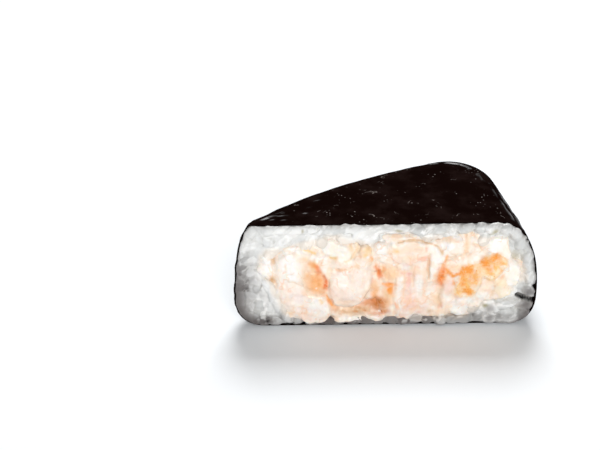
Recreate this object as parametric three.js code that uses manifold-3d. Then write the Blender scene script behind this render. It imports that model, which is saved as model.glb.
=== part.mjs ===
// One half of a filled onigiri, a rice ball wrapped in nori, cut from its tip to the middle of its
// base. It lies on its broad side, with the cut face upright.
// Frame: X runs along the cut from the tip to the base, the cut face looks along -Y, Z is up.
// Origin: on the resting plane, under the middle of the box round the whole half.
// Millimetres throughout.

import * as THREE from "three";
import { mergeVertices } from "three/addons/utils/BufferGeometryUtils.js";
import { ImprovedNoise } from "three/addons/math/ImprovedNoise.js";
import Module from "manifold-3d";

const wasm = await Module();
wasm.setup();

// ---- Driving dimensions of the half ----
const cutLength = 76; // tip to base along the cut, where the half is widest
const halfDepth = 47; // cut face to the far corner
const thickness = 29; // resting face to top face
const tipRadius = 8.5; // plan radius of the tip, centred on the cut
const cornerRadius = 16; // plan radius of the far corner
const longSideRadius = 200; // the long side is a shallow arc
const baseSideRadius = 650; // and so is the base side
const waist = 0.28 * thickness; // height of the widest level
const lowerRound = { tip: 8.2, base: 6.5 }; // how far the rounded lower edge pulls in
const upperRound = { tip: 5, base: 11 }; // how far the rounded upper edge pulls in
const lowerPower = 2.3; // superellipse powers of those edges: 2 is an ellipse
const upperPower = 2;
const poleX = 4; // where the grids of the flat faces meet, on the cut

// ---- Driving dimensions of the layers ----
const noriThickness = 0.6;
const gap = 0.3; // left between neighbouring solids
const pieceGap = gap + 0.05; // a little more round the pieces, whose facets are coarse
const fillingGap = gap + 0.4; // and more between the filling and the rice round it
const riceInset = noriThickness + gap + 0.5; // outside of the rice, clear of the nori's facets
const riceProud = 0.15; // the rice stands this far out of the cut face
const noriCutter = 6; // how far the solid that hollows the nori runs out past the cut face
const fillingSize = { length: 63, height: 21.5, depth: 23, bulge: 1.2, clearBelow: 2.3 };
const fillingCentre = { x: 1.2, z: 13.2 };
const fillingPower = 2.7; // superellipse power of the filling's outline on the cut
const fillingTipShare = 0.44; // depth at the tip end as a share of the depth at the base

// ---- Driving dimensions of the rice grains that show on the cut face ----
const grain = { length: 6.2, width: 2.7, depth: 2.4, lean: 24 }; // a cooked short grain
const grainGrid = { across: 4.3, up: 2.7, shakeX: 2.2, shakeZ: 1.4, clearOfFilling: 1.2 };
const grainMiddle = { from: -0.5, to: 0.35 }; // y of the grains' middles
const grainTrim = { inset: riceInset + 0.25, proud: 4 }; // grains are cut back to this body
const seed = 8;

// Facets are merged where they lie within this distance of one another.
const coarseness = { nori: 0.05, piece: 0.05, rice: 0.12, cream: 0.14 };

const noise = new ImprovedNoise();
const { degToRad, lerp, seededRandom: random, smoothstep } = THREE.MathUtils;

// ---- Solids from grids and spheres ----

// A closed solid from points and triangles. Points that coincide become one.
function solidOf(points, triangles) {
  const geometry = new THREE.BufferGeometry();
  geometry.setAttribute("position", new THREE.Float32BufferAttribute(points.flat(), 3));
  geometry.setIndex(triangles.flat());
  return solidOfGeometry(geometry);
}

function solidOfGeometry(geometry) {
  geometry.deleteAttribute("normal");
  geometry.deleteAttribute("uv");
  const merged = mergeVertices(geometry, 2e-3);
  const corners = merged.index.array;
  const kept = [];
  for (let i = 0; i < corners.length; i += 3) {
    const [a, b, c] = [corners[i], corners[i + 1], corners[i + 2]];
    if (a !== b && b !== c && c !== a) kept.push(a, b, c);
  }
  return new wasm.Manifold(
    new wasm.Mesh({
      numProp: 3,
      vertProperties: merged.attributes.position.array,
      triVerts: new Uint32Array(kept),
    }),
  );
}

function geometryOf(solid) {
  const mesh = solid.getMesh();
  const geometry = new THREE.BufferGeometry();
  geometry.setAttribute("position", new THREE.BufferAttribute(mesh.vertProperties, 3));
  geometry.setIndex(new THREE.BufferAttribute(mesh.triVerts, 1));
  return geometry;
}

// The largest body of a solid, without the scraps and slivers that a cut leaves.
function largestBody(solid, tolerance) {
  let tidied = solid;
  for (const share of [0.5, 1]) {
    tidied = solidOfGeometry(geometryOf(tidied.simplify(tolerance * share)));
  }
  return tidied.decompose().reduce((best, body) => (body.volume() > best.volume() ? body : best));
}

// ---- Plan outline: four arcs that run into each other ----

function planArcs() {
  const tip = new THREE.Vector2(-cutLength / 2 + tipRadius, 0);
  const base = new THREE.Vector2(cutLength / 2 - baseSideRadius, 0);
  const cornerY = halfDepth - cornerRadius;
  const cornerX = base.x + Math.sqrt((baseSideRadius - cornerRadius) ** 2 - cornerY ** 2);
  const corner = new THREE.Vector2(cornerX, cornerY);
  // The long side's centre lies where its arc touches the tip's and the corner's circles.
  const toTip = longSideRadius - tipRadius;
  const toCorner = longSideRadius - cornerRadius;
  const span = tip.distanceTo(corner);
  const along = (toTip ** 2 - toCorner ** 2 + span ** 2) / (2 * span);
  const aside = Math.sqrt(toTip ** 2 - along ** 2);
  const way = corner.clone().sub(tip).normalize();
  const longSide = tip
    .clone()
    .addScaledVector(way, along)
    .add(new THREE.Vector2(way.y, -way.x).multiplyScalar(aside));
  const angleTo = (from, to) => Math.atan2(to.y - from.y, to.x - from.x);
  const leaveTip = angleTo(longSide, tip);
  const meetCorner = angleTo(longSide, corner);
  const leaveCorner = angleTo(base, corner);
  return [
    { centre: tip, radius: tipRadius, from: Math.PI, to: leaveTip, steps: 7 },
    { centre: longSide, radius: longSideRadius, from: leaveTip, to: meetCorner, steps: 15 },
    { centre: corner, radius: cornerRadius, from: meetCorner, to: leaveCorner, steps: 10 },
    { centre: base, radius: baseSideRadius, from: leaveCorner, to: 0, steps: 8 },
  ];
}

// Points of the outline with their outward normals, from the tip round to the base.
function planStations(detail) {
  const stations = [];
  const add = (arc, angle) => {
    const normal = new THREE.Vector2(Math.cos(angle), Math.sin(angle));
    stations.push({ point: arc.centre.clone().addScaledVector(normal, arc.radius), normal });
  };
  const arcs = planArcs();
  for (const arc of arcs) {
    const steps = Math.max(2, Math.round(arc.steps * detail));
    for (let i = 0; i < steps; i++) add(arc, lerp(arc.from, arc.to, i / steps));
  }
  add(arcs.at(-1), 0);
  return stations;
}

// ---- The body of the half, drawn in by an inset ----

// Levels from the middle of the resting face, round the edge, to the middle of the top face.
// share runs from the pole to the rounded edge; angle runs round that edge.
function sectionLevels(detail) {
  const flat = Math.max(2, Math.round(5 * detail));
  const curved = Math.max(8, Math.round(16 * detail));
  const levels = [];
  for (let i = 0; i < flat; i++) levels.push({ share: i / flat, angle: -Math.PI / 2 });
  for (let i = 0; i <= curved; i++) levels.push({ share: 1, angle: (i / curved - 0.5) * Math.PI });
  for (let i = flat - 1; i >= 0; i--) levels.push({ share: i / flat, angle: Math.PI / 2 });
  return levels;
}

function bodyPoint(station, level, inset, relief) {
  const { point, normal } = station;
  const toBase = smoothstep(point.x, -cutLength / 2, cutLength / 2);
  const below = level.angle < 0;
  const power = 2 / (below ? lowerPower : upperPower);
  const round = below ? lowerRound : upperRound;
  const pull = lerp(round.tip, round.base, toBase) - inset;
  const reach = Math.abs(Math.cos(level.angle)) ** power;
  const rise = Math.abs(Math.sin(level.angle)) ** power;
  const off = -inset - pull * (1 - reach);
  const top = thickness - inset;
  const z = below ? lerp(waist, inset, rise) : lerp(waist, top, rise);
  const edge = point.clone().addScaledVector(normal, off);
  const x = lerp(poleX, edge.x, level.share);
  const y = edge.y * level.share;
  if (!relief) return [x, y, z];
  const tilt = Math.cos(level.angle) * level.share;
  const height = relief(x, y, z);
  const rim = Math.sign(level.angle) * Math.sqrt(1 - tilt ** 2);
  return [x + normal.x * tilt * height, y + normal.y * tilt * height, z + rim * height];
}

// front is the Y of the cut face: 0 on the cut, below 0 where the body serves as a cutter.
function bodySolid({ inset, front = 0, detail = 1, relief = null }) {
  const stations = planStations(detail);
  const levels = sectionLevels(detail);
  const columns = stations.map((s) => levels.map((level) => bodyPoint(s, level, inset, relief)));
  if (front !== 0) {
    const moved = (column) => column.map(([x, , z]) => [x, front, z]);
    columns.unshift(moved(columns[0]));
    columns.push(moved(columns.at(-1)));
  }
  const rows = levels.length;
  const at = (column, row) => column * rows + row;
  const last = columns.length - 1;
  const triangles = [];
  const quad = (a, b, c, d) => triangles.push([a, b, c], [a, c, d]);
  for (let row = 0; row < rows - 1; row++) {
    for (let column = 0; column < last; column++) {
      quad(at(column, row), at(column, row + 1), at(column + 1, row + 1), at(column + 1, row));
    }
    quad(at(last, row), at(last, row + 1), at(0, row + 1), at(0, row));
  }
  return solidOf(columns.flat(), triangles);
}

// ---- Nori: one thin sheet over everything but the cut face ----

const pleats = { inner: 6.8, reach: 17, depth: 0.55, count: 9 }; // creases that fan out from the tip
const ripple = { wavelength: 13, depth: 0.22 };
const fold = { inFrom: 5.5, width: 1.6, height: 0.35 }; // where the sheet is folded over the corner
const flatRest = { from: 1.5, to: 6 }; // the relief fades out towards the resting face
const proudMost = 0.2; // no crease stands out further than this

function noriRelief(x, y, z) {
  const clearOfRest = smoothstep(z, flatRest.from, flatRest.to);
  const fromTip = Math.hypot(x + cutLength / 2, y);
  const turn = Math.atan2(z - waist, x + cutLength / 2 + y);
  const creased = 1 - smoothstep(fromTip, pleats.inner, pleats.reach);
  const crease = pleats.depth * creased * Math.sin(pleats.count * turn);
  const [u, v, w] = [x, y, z].map((t) => t / ripple.wavelength);
  const wave = ripple.depth * noise.noise(u, v, w);
  const fromArc = Math.hypot(x - cutLength / 2 + cornerRadius, y - halfDepth + cornerRadius);
  const toCorner = cornerRadius - fromArc;
  const onTop = smoothstep(z, thickness - 4, thickness - 1);
  const ridge = fold.height * onTop * Math.exp(-(((toCorner - fold.inFrom) / fold.width) ** 2));
  return clearOfRest * (Math.min(crease, proudMost) + wave + ridge - proudMost);
}

function makeNori() {
  const outside = bodySolid({ inset: 0, relief: noriRelief });
  const inside = bodySolid({ inset: noriThickness, front: -noriCutter, relief: noriRelief });
  return largestBody(outside.subtract(inside), coarseness.nori);
}

// ---- Lumps: spheres pressed out of round ----

// x and z place a lump on the cut face, and w, h and deep are its half width, height and depth.
// It stands out of the cut face by out. turn is in degrees, a power over 2 squares the lump off,
// and rough is the depth of its bumps as a share of its size.
const bumpsAcross = 1.7;

function lumpSolid(lump, grow = 0) {
  const { x, z, w, h, deep = 3, out = 2, turn = 0, power = 2, rough = 0.12, sides = 10 } = lump;
  const centre = new THREE.Vector3(x, deep - out, z);
  const size = new THREE.Vector3(w + grow, deep + grow, h + grow);
  const geometry = new THREE.SphereGeometry(1, sides, Math.round(sides * 0.6));
  const place = geometry.attributes.position;
  const axis = new THREE.Vector3(0, 1, 0);
  const v = new THREE.Vector3();
  for (let i = 0; i < place.count; i++) {
    v.fromBufferAttribute(place, i);
    const sum = Math.abs(v.x) ** power + Math.abs(v.y) ** power + Math.abs(v.z) ** power;
    const bump = noise.noise(v.x * bumpsAcross + x, v.y * bumpsAcross, v.z * bumpsAcross + z);
    v.multiplyScalar(sum ** (-1 / power) * (1 + rough * bump)).multiply(size);
    v.applyAxisAngle(axis, degToRad(turn)).add(centre);
    place.setXYZ(i, v.x, v.y, v.z);
  }
  return solidOfGeometry(geometry);
}

// The pieces of the filling that are large enough to pick out. Each is one or more fused lumps.
const pieces = {
  prawn_middle: {
    colour: 0xfbe6d8,
    lumps: [
      { x: -9.2, z: 11.6, w: 6.5, h: 6.6, deep: 4.4, out: 3.8, turn: -8, sides: 12 },
      { x: -6.6, z: 15.8, w: 4.2, h: 3.6, out: 2.6, turn: 14 },
      { x: -11.6, z: 16, w: 3.4, h: 3.2, out: 2.2, turn: -14 },
    ],
  },
  prawn_left: {
    colour: 0xfdece0,
    lumps: [
      { x: -23.8, z: 16.4, w: 4.6, h: 5.4, deep: 3.4, out: 2.2, turn: 8, sides: 10 },
      { x: -23.4, z: 9.2, w: 4.6, h: 5.4, deep: 3.2, out: 1.9, turn: -16, sides: 10 },
      { x: -18.2, z: 6.2, w: 5, h: 4.6, deep: 3, out: 3.6, turn: -12, sides: 10 },
    ],
  },
  prawn_left_tail: {
    colour: 0xf7a26a,
    lumps: [
      { x: -17.6, z: 12.2, w: 3.1, h: 3.8, deep: 2.6, out: 2, turn: -12 },
      { x: -17.9, z: 17, w: 2.3, h: 2.1, deep: 2.2, out: 1.6, turn: -30 },
    ],
  },
  prawn_slab: {
    colour: 0xfbe3d3,
    lumps: [
      { x: 3.6, z: 20.8, w: 7.8, h: 3.4, deep: 3, out: 2, turn: -2, power: 2.8, sides: 10 },
      { x: 11.4, z: 18, w: 2.5, h: 5.2, deep: 2.8, out: 2.2, turn: 4 },
    ],
  },
  crab_block: {
    colour: 0xf9d3be,
    lumps: [
      { x: 0, z: 13.4, w: 2.3, h: 4.6, out: 1.6, turn: 12, power: 2.4 },
      { x: 1, z: 7.6, w: 2.4, h: 6.2, out: 1.7, turn: 12, power: 2.4 },
      { x: 3.6, z: 9.6, w: 2.5, h: 8, out: 2.2, turn: 2, power: 2.4 },
      { x: 6.4, z: 9.6, w: 2.5, h: 8.2, out: 2.4, turn: -2, power: 2.4 },
      { x: 9.4, z: 8.4, w: 2.4, h: 7, out: 2, turn: -4, power: 2.4 },
    ],
  },
  prawn_right: {
    colour: 0xfce4d4,
    lumps: [
      { x: 15.2, z: 7.4, w: 3.2, h: 5.2, deep: 2.8, out: 1.9, turn: 12 },
      { x: 20.6, z: 7.4, w: 4.6, h: 3.3, deep: 2.8, out: 2, turn: -16 },
      { x: 25.4, z: 10.8, w: 2.8, h: 3.8, deep: 2.8, out: 2, turn: -14 },
    ],
  },
  orange_piece_left: {
    colour: 0xf3a64c,
    lumps: [{ x: 19.6, z: 13, w: 3.4, h: 4.4, out: 2.5, turn: 14, power: 3 }],
  },
  orange_piece_right: {
    colour: 0xf5b066,
    lumps: [{ x: 25.6, z: 17, w: 3, h: 3.7, out: 2.4, turn: 28, power: 3 }],
  },
  orange_piece_low: {
    colour: 0xf6d09a,
    lumps: [{ x: 29, z: 10.8, w: 2.5, h: 3.3, deep: 2.6, out: 1.5, turn: -24, power: 2.6 }],
  },
  cheese_right: {
    colour: 0xfffaf0,
    lumps: [{ x: 31, z: 14, w: 2.9, h: 4, deep: 2.8, out: 2.1, turn: -6 }],
  },
  cheese_low: {
    colour: 0xfffaf0,
    lumps: [{ x: 18.4, z: 4, w: 2.5, h: 2.4, deep: 2.2, out: 2.2 }],
  },
  cheese_top: {
    colour: 0xf6f8fa,
    lumps: [{ x: 27, z: 21.6, w: 3, h: 3, deep: 2.4, out: 1.6, turn: -20, power: 2.6 }],
  },
  cheese_left: {
    colour: 0xfffaf0,
    lumps: [
      { x: -13.9, z: 22, w: 2.9, h: 2.8, deep: 2.4, out: 1.7 },
      { x: -10.7, z: 20.6, w: 2.4, h: 2.8, deep: 2.4, out: 1.9 },
    ],
  },
};

function pieceSolid(piece, grow = 0) {
  return wasm.Manifold.union(piece.lumps.map((lump) => lumpSolid(lump, grow)));
}

// ---- Filling: the creamy mass that runs in from the cut face ----

// Soft folds and dollops of cream that stand out of the cut face.
const creamFolds = [
  { x: -30.2, z: 17.6, w: 2.4, h: 3.4, out: 1.2, turn: 14 },
  { x: -29.4, z: 12.8, w: 2.4, h: 2, out: 1, turn: -14 },
  { x: -22.6, z: 21.8, w: 3.6, h: 1.8, out: 1.4, turn: 8 },
  { x: -6.2, z: 21, w: 2.5, h: 3, out: 1.7, turn: -6 },
  { x: 15.6, z: 19.6, w: 1.8, h: 4.2, out: 1.8, turn: 30 },
  { x: 20.2, z: 20, w: 2, h: 3.8, out: 1.8, turn: 26 },
  { x: 17, z: 24, w: 4.6, h: 1.7, out: 1.6, turn: -14 },
  { x: -7, z: 3.1, w: 5.4, h: 1.2, out: 1.8 },
  { x: 11.6, z: 3.6, w: 3.4, h: 1.8, out: 1.8, turn: 4 },
];
const foldDepth = 2.6; // half depth of those folds
const hollow = { x: -4.6, z: 6.2, w: 5, h: 2.6, out: 3, turn: -20 }; // the dark hollow under a prawn
const swell = { share: 0.05, across: 4, deep: 3, up: 3 }; // shallow bumps on the mass

// How far out of the filling's outline a point of the cut face lies: 1 is on it.
function outOfFilling(x, z, margin) {
  const acrossX = Math.abs(x) / (fillingSize.length / 2 + margin);
  const acrossZ = Math.abs(z) / (fillingSize.height / 2 + margin);
  return (acrossX ** fillingPower + acrossZ ** fillingPower) ** (1 / fillingPower);
}

// The mass is a superellipsoid that is deepest towards the base, where the half is deep.
function fillingSolid(grow = 0) {
  const geometry = new THREE.SphereGeometry(1, 24, 12);
  const place = geometry.attributes.position;
  const v = new THREE.Vector3();
  for (let i = 0; i < place.count; i++) {
    v.fromBufferAttribute(place, i);
    const deepest = fillingSize.depth * lerp(fillingTipShare, 1, (v.x + 1) / 2);
    const depth = v.y > 0 ? deepest : fillingSize.bulge;
    const across = outOfFilling(v.x, v.z, 0) ** 2 + (v.y / depth) ** 2;
    const bump = noise.noise(v.x * swell.across, v.y * swell.deep, v.z * swell.up);
    v.multiplyScalar((1 + swell.share * bump) / Math.sqrt(across) + grow);
    const floor = fillingSize.clearBelow - grow;
    place.setXYZ(i, v.x + fillingCentre.x, v.y, Math.max(v.z + fillingCentre.z, floor));
  }
  const folds = creamFolds.map((fold) => lumpSolid({ ...fold, deep: foldDepth }, grow));
  return wasm.Manifold.union([solidOfGeometry(geometry), ...folds]);
}

// ---- Rice: a core with the grains that show fused on ----

function grainSolid(x, z) {
  const { length, width, depth, lean } = grain;
  const y = lerp(grainMiddle.from, grainMiddle.to, random());
  const geometry = new THREE.SphereGeometry(1, 6, 4);
  geometry.rotateZ(Math.PI / 2);
  geometry.scale(length / 2, depth / 2, width / 2);
  geometry.rotateZ(degToRad(lerp(-lean, lean, random())));
  geometry.rotateY(random() * Math.PI);
  geometry.translate(x, y, z);
  return solidOfGeometry(geometry);
}

// Grains stand on a shaken grid over the cut face, where no filling shows.
function faceGrains() {
  const { across, up, shakeX, shakeZ, clearOfFilling } = grainGrid;
  random(seed);
  const grains = [];
  for (let row = up; row < thickness; row += up) {
    for (let column = across / 2 - cutLength / 2; column < cutLength / 2; column += across) {
      const x = column + (random() - 0.5) * shakeX;
      const z = row + (random() - 0.5) * shakeZ;
      const out = outOfFilling(x - fillingCentre.x, z - fillingCentre.z, clearOfFilling);
      if (out > 1) grains.push(grainSolid(x, z));
    }
  }
  return grains;
}

function makeRice(cutters) {
  const shape = { detail: 0.6, relief: noriRelief };
  const core = bodySolid({ ...shape, inset: riceInset, front: -riceProud });
  const within = bodySolid({ ...shape, inset: grainTrim.inset, front: -grainTrim.proud });
  const heaped = core.add(wasm.Manifold.union(faceGrains()).intersect(within));
  const hollowed = cutters.reduce((rice, cutter) => rice.subtract(cutter), heaped);
  return largestBody(hollowed, coarseness.rice);
}

// ---- The half ----

function meshOf(name, solid, colour, roughness) {
  const material = new THREE.MeshStandardMaterial({ color: colour, roughness, metalness: 0 });
  const made = new THREE.Mesh(geometryOf(solid), material);
  made.name = name;
  return made;
}

const half = new THREE.Group();
half.add(meshOf("nori_wrap", makeNori(), 0x17100f, 0.45));

// Each piece is cut back from the ones before it, and the filling from them all.
const cutters = [];
for (const [name, piece] of Object.entries(pieces)) {
  const cut = cutters.reduce((solid, cutter) => solid.subtract(cutter), pieceSolid(piece));
  half.add(meshOf(name, largestBody(cut, coarseness.piece), piece.colour, 0.4));
  cutters.push(pieceSolid(piece, pieceGap));
}
const scooped = fillingSolid().subtract(lumpSolid(hollow));
const cream = cutters.reduce((solid, cutter) => solid.subtract(cutter), scooped);
half.add(meshOf("cream_filling", largestBody(cream, coarseness.cream), 0xfdebdc, 0.4));
half.add(meshOf("rice", makeRice([fillingSolid(fillingGap), ...cutters]), 0xe9e9e6, 0.5));

const box = new THREE.Box3().setFromObject(half);
half.position.set(-(box.min.x + box.max.x) / 2, -(box.min.y + box.max.y) / 2, -box.min.z);

export default half;
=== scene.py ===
import bmesh
import bpy
import math
import numpy as np
from mathutils import Matrix, Vector
from mathutils.kdtree import KDTree


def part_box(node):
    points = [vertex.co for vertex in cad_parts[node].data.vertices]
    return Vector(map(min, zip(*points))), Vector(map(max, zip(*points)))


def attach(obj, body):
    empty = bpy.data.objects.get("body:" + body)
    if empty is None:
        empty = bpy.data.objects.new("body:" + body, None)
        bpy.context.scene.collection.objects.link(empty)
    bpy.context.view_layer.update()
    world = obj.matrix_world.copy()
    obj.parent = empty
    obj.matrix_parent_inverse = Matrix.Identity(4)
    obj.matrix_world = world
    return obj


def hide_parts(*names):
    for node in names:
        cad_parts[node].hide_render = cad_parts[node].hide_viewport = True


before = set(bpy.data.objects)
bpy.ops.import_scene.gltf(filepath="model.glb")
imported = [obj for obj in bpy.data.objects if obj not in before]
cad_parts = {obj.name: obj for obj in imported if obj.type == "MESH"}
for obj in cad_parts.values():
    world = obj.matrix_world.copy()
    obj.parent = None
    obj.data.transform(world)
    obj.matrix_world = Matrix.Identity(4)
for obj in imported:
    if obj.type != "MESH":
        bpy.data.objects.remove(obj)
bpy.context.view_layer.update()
print("frame loaded")

millimetre = 0.001
halfLength = 38.0
noriLow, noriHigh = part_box("nori_wrap")
cutOrigin = Vector(((noriLow.x + noriHigh.x) / 2, noriLow.y, noriLow.z))
inFrame = Matrix.Translation(cutOrigin) @ Matrix.Scale(millimetre, 4)

cameraView = {
    "target": (-21.576, 0.0, 28.677),
    "distance": 199.094,
    "elevation": 27.26,
    "yaw": -1.204,
    "lens": 50.0,
    "sensor": 36.0,
    "nearest": 0.01,
}


def sceneObject(name, data):
    made = bpy.data.objects.new(name, data)
    bpy.context.scene.collection.objects.link(made)
    return made


def makeCamera(view):
    elevation = math.radians(view["elevation"])
    yaw = math.radians(view["yaw"])
    back = Vector((
        math.sin(yaw) * math.cos(elevation),
        -math.cos(yaw) * math.cos(elevation),
        math.sin(elevation),
    ))
    lens = bpy.data.cameras.new("camera")
    lens.lens = view["lens"]
    lens.sensor_width = view["sensor"]
    lens.clip_start = view["nearest"]
    camera = sceneObject("camera", lens)
    camera.location = inFrame @ (Vector(view["target"]) + back * view["distance"])
    camera.rotation_euler = back.to_track_quat("Z", "Y").to_euler()
    bpy.context.scene.camera = camera


makeCamera(cameraView)


def lattice(points, size, seed):
    # smooth value noise from -1 to 1, one number for each point
    place = np.asarray(points, float) / size + seed * 17.31
    cell = np.floor(place).astype(np.int64)
    part = place - cell
    ease = part ** 3 * (part * (part * 6 - 15) + 10)
    total = np.zeros(len(place))
    for corner in range(8):
        step = np.array([corner & 1, corner >> 1 & 1, corner >> 2 & 1])
        key = (cell + step) * np.array([73856093, 19349663, 83492791])
        mixed = key[:, 0] ^ key[:, 1] ^ key[:, 2]
        mixed = ((mixed ^ (mixed >> 13)) * 1274126177) & 0xFFFFFFFF
        value = ((mixed ^ (mixed >> 15)) & 0xFFFF) / 32767.5 - 1
        total += value * np.prod(np.where(step == 1, ease, 1 - ease), axis=1)
    return total


def latticeSet(points, size, seeds):
    return np.stack([lattice(points, size, seed) for seed in seeds], axis=1)


def cloudy(points, size, seed):
    # two sizes of noise on top of each other
    return lattice(points, size, seed) + 0.5 * lattice(points, size / 2, seed + 3.7)


def cloudySet(points, size, seeds):
    return np.stack([cloudy(points, size, seed) for seed in seeds], axis=1)


def ramp(values, low, high):
    part = np.clip((values - low) / (high - low), 0, 1)
    return part * part * (3 - 2 * part)


def fade(values, low, high):
    return 1 - ramp(values, low, high)


def unitBall(steps):
    work = bmesh.new()
    bmesh.ops.create_icosphere(work, subdivisions=steps, radius=1)
    points = np.array([v.co for v in work.verts])
    faces = np.array([[v.index for v in f.verts] for f in work.faces])
    work.free()
    return points, faces


ballPoints, ballFaces = unitBall(3)


def turned(turn):
    # a turn about y
    a = math.radians(turn)
    return np.array([[math.cos(a), 0, -math.sin(a)], [0, 1, 0], [math.sin(a), 0, math.cos(a)]])


def wholeLump(lump):
    # lump: x, y, z, half width, half depth, half height, turn, squareness
    return tuple(lump) + (0, 2.2)[len(lump) - 6:]


def squared(power):
    # the ball made squarer by a power above 2
    return ballPoints * ((np.abs(ballPoints) ** power).sum(axis=1) ** (-1 / power))[:, None]


def lumpPoints(lump):
    x, y, z, wide, deep, high, turn, power = wholeLump(lump)
    return squared(power) * np.array([wide, deep, high]) @ turned(turn) + np.array([x, y, z])


def outOfLump(points, lump):
    # about how far each point lies out of a lump, below 0 inside it
    x, y, z, wide, deep, high, turn, power = wholeLump(lump)
    inner = (points - np.array([x, y, z])) @ turned(turn).T / np.array([wide, deep, high])
    return ((np.abs(inner) ** power).sum(axis=1) ** (1 / power) - 1) * min(wide, deep, high)


def joinedBalls(parts):
    # one list of points and one of faces for many balls
    faces = [ballFaces + number * len(ballPoints) for number in range(len(parts))]
    return np.concatenate(parts), np.concatenate(faces)


def newObject(name, points, faces):
    mesh = bpy.data.meshes.new(name)
    mesh.from_pydata(points.tolist(), [], faces.tolist())
    mesh.validate()
    return sceneObject(name, mesh)


def cleanObject(name, points, faces, clean):
    # an object from loose faces, with its normals made to point out
    mesh = bpy.data.meshes.new(name)
    mesh.from_pydata(points.tolist(), [], faces)
    work = bmesh.new()
    work.from_mesh(mesh)
    clean(work)
    bmesh.ops.recalc_face_normals(work, faces=work.faces)
    work.to_mesh(mesh)
    work.free()
    return sceneObject(name, mesh)


def applied(made):
    # the object's modifiers, worked into its mesh
    view = bpy.context.evaluated_depsgraph_get()
    mesh = bpy.data.meshes.new_from_object(made.evaluated_get(view))
    old = made.data
    made.modifiers.clear()
    made.data = mesh
    mesh.name = made.name
    bpy.data.meshes.remove(old)


def skinned(name, points, faces, voxel):
    made = newObject(name, points, faces)
    skin = made.modifiers.new("skin", "REMESH")
    skin.mode = "VOXEL"
    skin.voxel_size = voxel
    applied(made)
    return made


def vertexValues(mesh, kind):
    values = np.empty(len(mesh.vertices) * 3)
    mesh.vertices.foreach_get(kind, values)
    return values.reshape(-1, 3)


def pointsOf(mesh):
    return vertexValues(mesh, "co")


def normalsOf(mesh):
    return vertexValues(mesh, "normal")


def edgesOf(mesh):
    edges = np.empty(len(mesh.edges) * 2, np.int64)
    mesh.edges.foreach_get("vertices", edges)
    return edges.reshape(-1, 2)


def setPoints(mesh, points):
    mesh.vertices.foreach_set("co", points.ravel())
    mesh.update()


def relaxed(values, edges, rounds, amount=0.5):
    # each point's values drawn towards the mean of its neighbours' values
    count = np.maximum(np.bincount(edges.ravel(), minlength=len(values)), 1)
    share = amount[:, None] if isinstance(amount, np.ndarray) else amount
    values = values.copy()
    for _ in range(rounds):
        total = np.empty_like(values)
        for column in range(values.shape[1]):
            here = values[:, column]
            total[:, column] = np.bincount(edges[:, 0], here[edges[:, 1]], len(values))
            total[:, column] += np.bincount(edges[:, 1], here[edges[:, 0]], len(values))
        values += (total / count[:, None] - values) * share
    return values


def setMask(mesh, name, values):
    layer = mesh.attributes.new(name, "FLOAT", "POINT")
    layer.data.foreach_set("value", np.clip(values, 0, 1).astype(np.float32))


def smoothShaded(mesh):
    mesh.polygons.foreach_set("use_smooth", [True] * len(mesh.polygons))


def toLine(points, line):
    # distance from each point of the cut face to a bent line on it
    best = np.full(len(points), 1e9)
    for start, end in zip(line, line[1:]):
        start, end = np.array(start, float), np.array(end, float)
        way = end - start
        along = np.clip(((points - start) @ way) / max(way @ way, 1e-9), 0, 1)
        best = np.minimum(best, np.linalg.norm(points - start - along[:, None] * way, axis=1))
    return best


faceSlope = math.tan(math.radians(cameraView["elevation"]))


def onFace(points):
    # where a point lies on the cut face when it is looked at from the front and a little above
    return np.stack([points[:, 0], points[:, 2] + faceSlope * points[:, 1]], axis=1)


spotEdge = (0.2, 1.45)  # where a soft spot starts to fade and ends, as a share of its half size


def spotMask(flat, spots):
    # soft spots on the cut face: x, z, half width, half height, turn, strength
    mask = np.zeros(len(flat))
    for x, z, wide, high, turn, strength in spots:
        a = math.radians(turn)
        across = (flat[:, 0] - x) * math.cos(a) + (flat[:, 1] - z) * math.sin(a)
        up = -(flat[:, 0] - x) * math.sin(a) + (flat[:, 1] - z) * math.cos(a)
        out = np.sqrt((across / wide) ** 2 + (up / high) ** 2)
        mask = np.maximum(mask, strength * (1 - ramp(out, *spotEdge)))
    return mask


def finishPiece(made, nodes, material, normals=None):
    made.data.transform(inFrame)
    made.data.materials.clear()
    made.data.materials.append(material)
    smoothShaded(made.data)
    if normals is not None:
        made.data.normals_split_custom_set_from_vertices(normals.tolist())
    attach(made, "root")
    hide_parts(*nodes)
    print(made.name, len(made.data.polygons), "faces")


# The wrapped body's form, in plan an arrow from the tip to the base, with rounded edges.
wrapForm = {
    "cutLength": 76.0,
    "halfDepth": 47.0,
    "height": 29.0,
    "tipRadius": 8.5,
    "cornerRadius": 16.0,
    "longSideRadius": 200.0,
    "baseSideRadius": 650.0,
    "waist": 0.28,
    "lowerPull": (8.2, 6.5),  # at the tip, at the base
    "upperPull": (5.0, 11.0),
    "lowerPower": 2.3,
    "upperPower": 2.0,
    "poleX": 4.0,
}

# Steps along the four arcs of the plan, rows on the flats below and above, and rows round the edge.
wrapGrids = {
    "sheet": ((36, 84, 56, 52), (10, 84), 64),
    "outline": ((2, 2, 2, 2), (2, 2), 60),
    "search": ((24, 40, 24, 24), (20, 20), 60),
    "core": ((7, 15, 10, 8), (5, 5), 18),
}


def angleTo(start, end):
    return math.atan2(end[1] - start[1], end[0] - start[0])


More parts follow.
